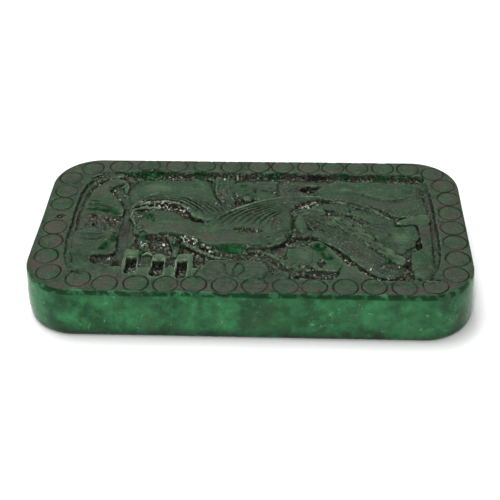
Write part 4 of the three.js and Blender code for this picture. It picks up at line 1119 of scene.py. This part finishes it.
def blur(field, size):
    """The field averaged over a square about size mm across."""
    reach = int(size / GRID / 2)
    for axis in (0, 1):
        padded = np.concatenate([np.repeat(np.take(field, [0], axis), reach + 1, axis), field,
                                 np.repeat(np.take(field, [-1], axis), reach, axis)], axis)
        total = np.cumsum(padded, axis)
        count = field.shape[axis]
        head = np.take(total, np.arange(2 * reach + 1, 2 * reach + 1 + count), axis)
        field = (head - np.take(total, np.arange(count), axis)) / (2 * reach + 1)
    return field


# Relief above its close surroundings gives the painted rim highlights; relief against its wider
# surroundings gives painted light on high places and painted shade in hollows.
painted_rim_light_map = relief - blur(blur(relief, 0.6), 0.6)
raised = relief - blur(blur(relief, 2.2), 2.2)
steep = ease((np.hypot(*np.gradient(relief, GRID)) - 0.5) / 1.2)
in_field = ease((-blur(np.minimum(relief, 0), 1.0) - 0.02) / 0.1)
maps = {"torn": rough, "clear": emerald, "tone_and_painted_light": tone_and_painted_light, "painted_rim_light_map": painted_rim_light_map, "raised": raised, "steep": steep,
        "carved": in_field, "edge": edge_gap, "cut": cut_gap}
for name, field in maps.items():
    attribute = solid.attributes.new(name, "FLOAT", "POINT")
    elsewhere = NOWHERE if name in ("edge", "cut") else 0
    attribute.data.foreach_set("value", elsewhere + (sample(field, x, y) - elsewhere) * on_top)
attribute = solid.attributes.new("worn", "FLOAT", "POINT")
attribute.data.foreach_set("value", on_top.astype(float))

tree = jade.node_tree
shader = tree.nodes["Principled BSDF"]
where = add(tree, "ShaderNodeTexCoord").outputs["Object"]
height = add(tree, "ShaderNodeSeparateXYZ", links={"Vector": where}).outputs["Z"]
top_height = thickness * MM
torn, clear_green, stone_tone_and_painted_light, painted_rim_light, painted_relief_light_and_shade, steep_wall, carved, edge, cut, worn, from_ring = (
    add(tree, "ShaderNodeAttribute", {"attribute_name": name}).outputs["Fac"]
    for name in (*maps, "worn", "from ring")
)


Cloud = namedtuple("Cloud", "size detail rough warp", defaults=(3, 0.5, 0.0))


def strength(*amounts):
    """How strongly a finish shows: its amounts multiplied together.

    An amount is a number, a socket, or a measure with the two levels that it is eased between, which
    give 0 and 1 unless two other ends follow. A measure is a socket, or a Cloud: a cloudy pattern
    around 0.5 with lumps about its size in mm across.
    """
    product = None
    for amount in amounts:
        if isinstance(amount, tuple):
            measure, low, high, least, most = (*amount, 0.0, 1.0)[:5]
            if isinstance(measure, Cloud):
                measure = add(tree, "ShaderNodeTexNoise", links={
                    "Vector": where, "Scale": 1 / (measure.size * MM), "Detail": measure.detail,
                    "Roughness": measure.rough, "Distortion": measure.warp,
                }).outputs[0]
            amount = add(tree, "ShaderNodeMapRange", {"interpolation_type": "SMOOTHSTEP"}, {
                "Value": measure, "From Min": low, "From Max": high, "To Min": least, "To Max": most,
            }).outputs["Result"]
        if product is not None:
            both = add(tree, "ShaderNodeMath", {"operation": "MULTIPLY"}, {0: product, 1: amount})
            amount = both.outputs["Value"]
        product = amount
    return product


def coats(ground, layers):
    """Lays colours over a ground in turn, each as strongly as its amounts say."""
    colour = linear(ground) if isinstance(ground, str) else ground
    for layer, *amounts in layers:
        above = linear(layer) if isinstance(layer, str) else layer
        amount = strength(*amounts)
        mixed = add(tree, "ShaderNodeMix", {"data_type": "RGBA"}, {0: amount, 6: colour, 7: above})
        colour = mixed.outputs[2]
    return colour


def levels(start, steps):
    """A number that passes to another in turn, as far as each amount says."""
    for amount, after in steps:
        start = add(tree, "ShaderNodeMix", {"data_type": "FLOAT"}, {
            0: strength(amount), 2: start, 3: strength(after),
        }).outputs[0]
    return start


# The stone itself: deep green with paler clouds and a few whitish wisps.
stone_green = coats("254A30", [
    ("356C46", (Cloud(7, 4), 0.32, 0.66)),
    ("3B8852", (Cloud(3.4, 5, 0.66, 0.3), 0.44, 0.76, 0, 0.8)),
    ("7DB88C", (Cloud(1.8, 5, 0.7), 0.6, 0.78, 0, 0.9)),
    ("3A4632", (Cloud(10), 0.52, 0.7, 0, 0.4)),
    ("0A3518", (Cloud(1.2, 4, 0.7), 0.48, 0.75, 0, 0.5)),
])
# Under the top edge a clear dark band, and at the foot a grey film of dirt.
side_green = coats(stone_green, [
    ("032A0F", (height, top_height - 1.8 * MM, top_height - 1.1 * MM), (Cloud(2), 0.38, 0.52), 0.85),
    ("272E25", (height, 3.6 * MM, 0.4 * MM, 0, 0.9), (Cloud(5, 4), 0.36, 0.6, 0.3, 1)),
])

# A grey-brown film lies on the worn top, thicker on the border and in stained places.
browner = strength((stone_tone_and_painted_light, -0.1, -0.8))
film = add(tree, "ShaderNodeMath", {"operation": "MAXIMUM"}, {
    0: strength((Cloud(4, 5, 0.65), 0.32, 0.62)), 1: strength(browner, 0.85),
}).outputs["Value"]
film_amount = levels(0.9, [(carved, 0.45), (browner, 1.0)])
# Painted shade for the steep walls: dark green with browner clouds.
painted_shade_wall_green = coats("0D2213", [
    ("173A1F", (Cloud(2, 4, 0.6), 0.42, 0.6)),
    ("221F19", (Cloud(3), 0.46, 0.58, 0, 0.8)),
])
on_border = strength((height, top_height - 0.7 * MM, top_height - 0.4 * MM))
broken = strength((Cloud(1.6, 4, 0.6), 0.42, 0.62, 0.1, 1))
glint = add(tree, "ShaderNodeMath", {"operation": "MAXIMUM"}, {0: torn, 1: steep_wall}).outputs["Value"]
glow = strength(clear_green, (Cloud(1.6, 4, 0.6), 0.3, 0.6, 0.85, 1.05))
ring_size = add(tree, "ShaderNodeMath", {"operation": "ABSOLUTE"}, {0: from_ring}).outputs["Value"]
top_green = coats("1D3425", [
    ("294A30", (Cloud(6, 4), 0.35, 0.65)),
    ("48694D", (Cloud(2.2, 5, 0.7), 0.46, 0.76, 0, 0.75)),
    ("2A3228", (Cloud(1.5, 4, 0.6), 0.45, 0.62, 0, 0.4)),
    # Paler where the tone is above 0: handled stone, and painted light on the neck's top edge and the
    # wave's crest.
    ("546F51", (stone_tone_and_painted_light, 0.1, 1.1, 0, 0.75)),
    (coats("45413B", [("3F433A", carved)]), film, film_amount),
    # The film is rubbed off inside the rings.
    ("284A2F", (from_ring, 0.1 * MM, -0.5 * MM, 0, 0.4), (Cloud(2.4, 4), 0.4, 0.65), on_border),
    # Steep walls are painted dark green as painted shade. Stains and torn stone are browner; a few stains
    # are painted shade, as on the wave's body.
    (painted_shade_wall_green, steep_wall, 0.75),
    ("252219", (stone_tone_and_painted_light, -0.5, -1.2, 0, 0.6)),
    ("25221B", (torn, 0.2, 1, 0, 0.8)),
    # Painted light pales the high places, which handling also keeps clean, and painted shade with dirt
    # darkens the hollows between them.
    ("5B745A", (painted_relief_light_and_shade, 0.05, 0.7, 0, 0.27)),
    ("191913", (painted_relief_light_and_shade, -0.1, -0.8, 0, 0.52)),
    # Pits and dust speckle the torn stone.
    ("151710", (Cloud(0.9, 4, 0.7), 0.46, 0.64), (glint, 0.1, 0.8, 0.2, 0.66)),
    ("6E7A64", (Cloud(0.7, 4, 0.7), 0.5, 0.68), (glint, 0.1, 0.8, 0.2, 0.6)),
    # Painted shade and dirt line the foot of each wall, and painted highlights pale the rim above it, where
    # it is also rubbed.
    ("11130E", (edge, -0.7, -0.15), (edge, 0.12, 0), (painted_relief_light_and_shade, 0.1, -0.4, 0.05, 0.62)),
    ("8CA285", (edge, 0, 0.1), (edge, 0.36, 0.16), (painted_relief_light_and_shade, -0.05, 0.4, 0, 0.42), broken),
    ("8CA386", (painted_rim_light, 0.06, 0.3, 0, 0.3), broken),
    # Every wheel-cut line is darkened.
    ("161812", (cut, 0.3, 0.06), 0.72),
    # Clear stone glows, most of all where it is thickest.
    (coats("042009", [("0C3C1A", (Cloud(1.3, 4, 0.6), 0.4, 0.62))]), (glow, 0.15, 0.85)),
    ("0F6A30", (glow, 1.2, 2.2)),
    # Painted glints: whitish dots stand in for sparkles of light on the torn stone and steep walls, drawn
    # coarser than real sparkles to show.
    ("A9A99E", (Cloud(0.6, 2), 0.59, 0.68), (Cloud(3, 3, 0.6), 0.42, 0.6),
     (steep_wall, 1, 0.3, 0.25, 1), (glint, 0.3, 0.9, 0, 0.7)),
    ("D2D6C8", (Cloud(0.7, 2), 0.57, 0.64), (torn, 1.05, 1.55), 0.9),
    # Painted shade fills the deepest holes, and the grooves of the rings are darkened.
    ("0A0B08", (stone_tone_and_painted_light, -1.1, -1.8, 0, 0.9)),
    ("0A0B07", (ring_size, 0.34 * MM, 0.12 * MM), (Cloud(6), 0.38, 0.6, 0.45, 0.9), on_border),
])
tree.links.new(coats(side_green, [(top_green, worn)]), shader.inputs["Base Color"])

# Polished sides, a satin top, and a wet-looking gloss left on torn and on clear stone.
gloss = levels(strength((Cloud(8), 0.3, 0.7, 0.2, 0.3)), [
    (worn, (Cloud(1, 4), 0.3, 0.7, 0.38, 0.6)),
    ((glint, 0.2, 1), 0.14),
    ((glow, 0.2, 0.8), 0.13),
])
tree.links.new(gloss, shader.inputs["Roughness"])

# Fine unevenness: faint waves from hand polishing everywhere, torn grain where the wheel has cut.
hand_waves, torn_grain = (
    add(tree, "ShaderNodeTexNoise", links={
        "Vector": where, "Scale": 1 / (size * MM), "Detail": detail, "Roughness": 0.7,
    }).outputs[0]
    for size, detail in ((1.1, 4), (0.6, 3))
)
waves = add(tree, "ShaderNodeBump", links={
    "Strength": strength((worn, 0, 1, 0.05, 0.4)), "Distance": 0.2 * MM, "Height": hand_waves,
})
grain = add(tree, "ShaderNodeBump", links={
    "Strength": strength((glint, 0.1, 1, 0.12, 1)), "Distance": 0.4 * MM, "Height": torn_grain,
    "Normal": waves.outputs["Normal"],
})
even = add(tree, "ShaderNodeMix", {"data_type": "VECTOR"}, {
    0: worn, 4: waves.outputs["Normal"], 5: grain.outputs["Normal"],
})
tree.links.new(even.outputs[1], shader.inputs["Normal"])

# Polish is left in scattered spots of the torn ground, which catch the light as sparkles.
polished_spots = strength((glint, 0.3, 0.9), (Cloud(0.7, 2, 0.6), 0.56, 0.62, 0, 0.9))
tree.links.new(polished_spots, shader.inputs["Coat Weight"])
tree.links.new(grain.outputs["Normal"], shader.inputs["Coat Normal"])

# Nephrite bends light strongly, and a little light enters it and comes back green.
for name, value in {
    "Coat Roughness": 0.08,
    "IOR": 1.61,
    "Specular IOR Level": 0.06,
    "Subsurface Weight": 0.2,
    "Subsurface Radius": (0.35, 1.0, 0.5),
    "Subsurface Scale": 1.0 * MM,
}.items():
    shader.inputs[name].default_value = value

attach(stone, "root")
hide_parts("plaque")
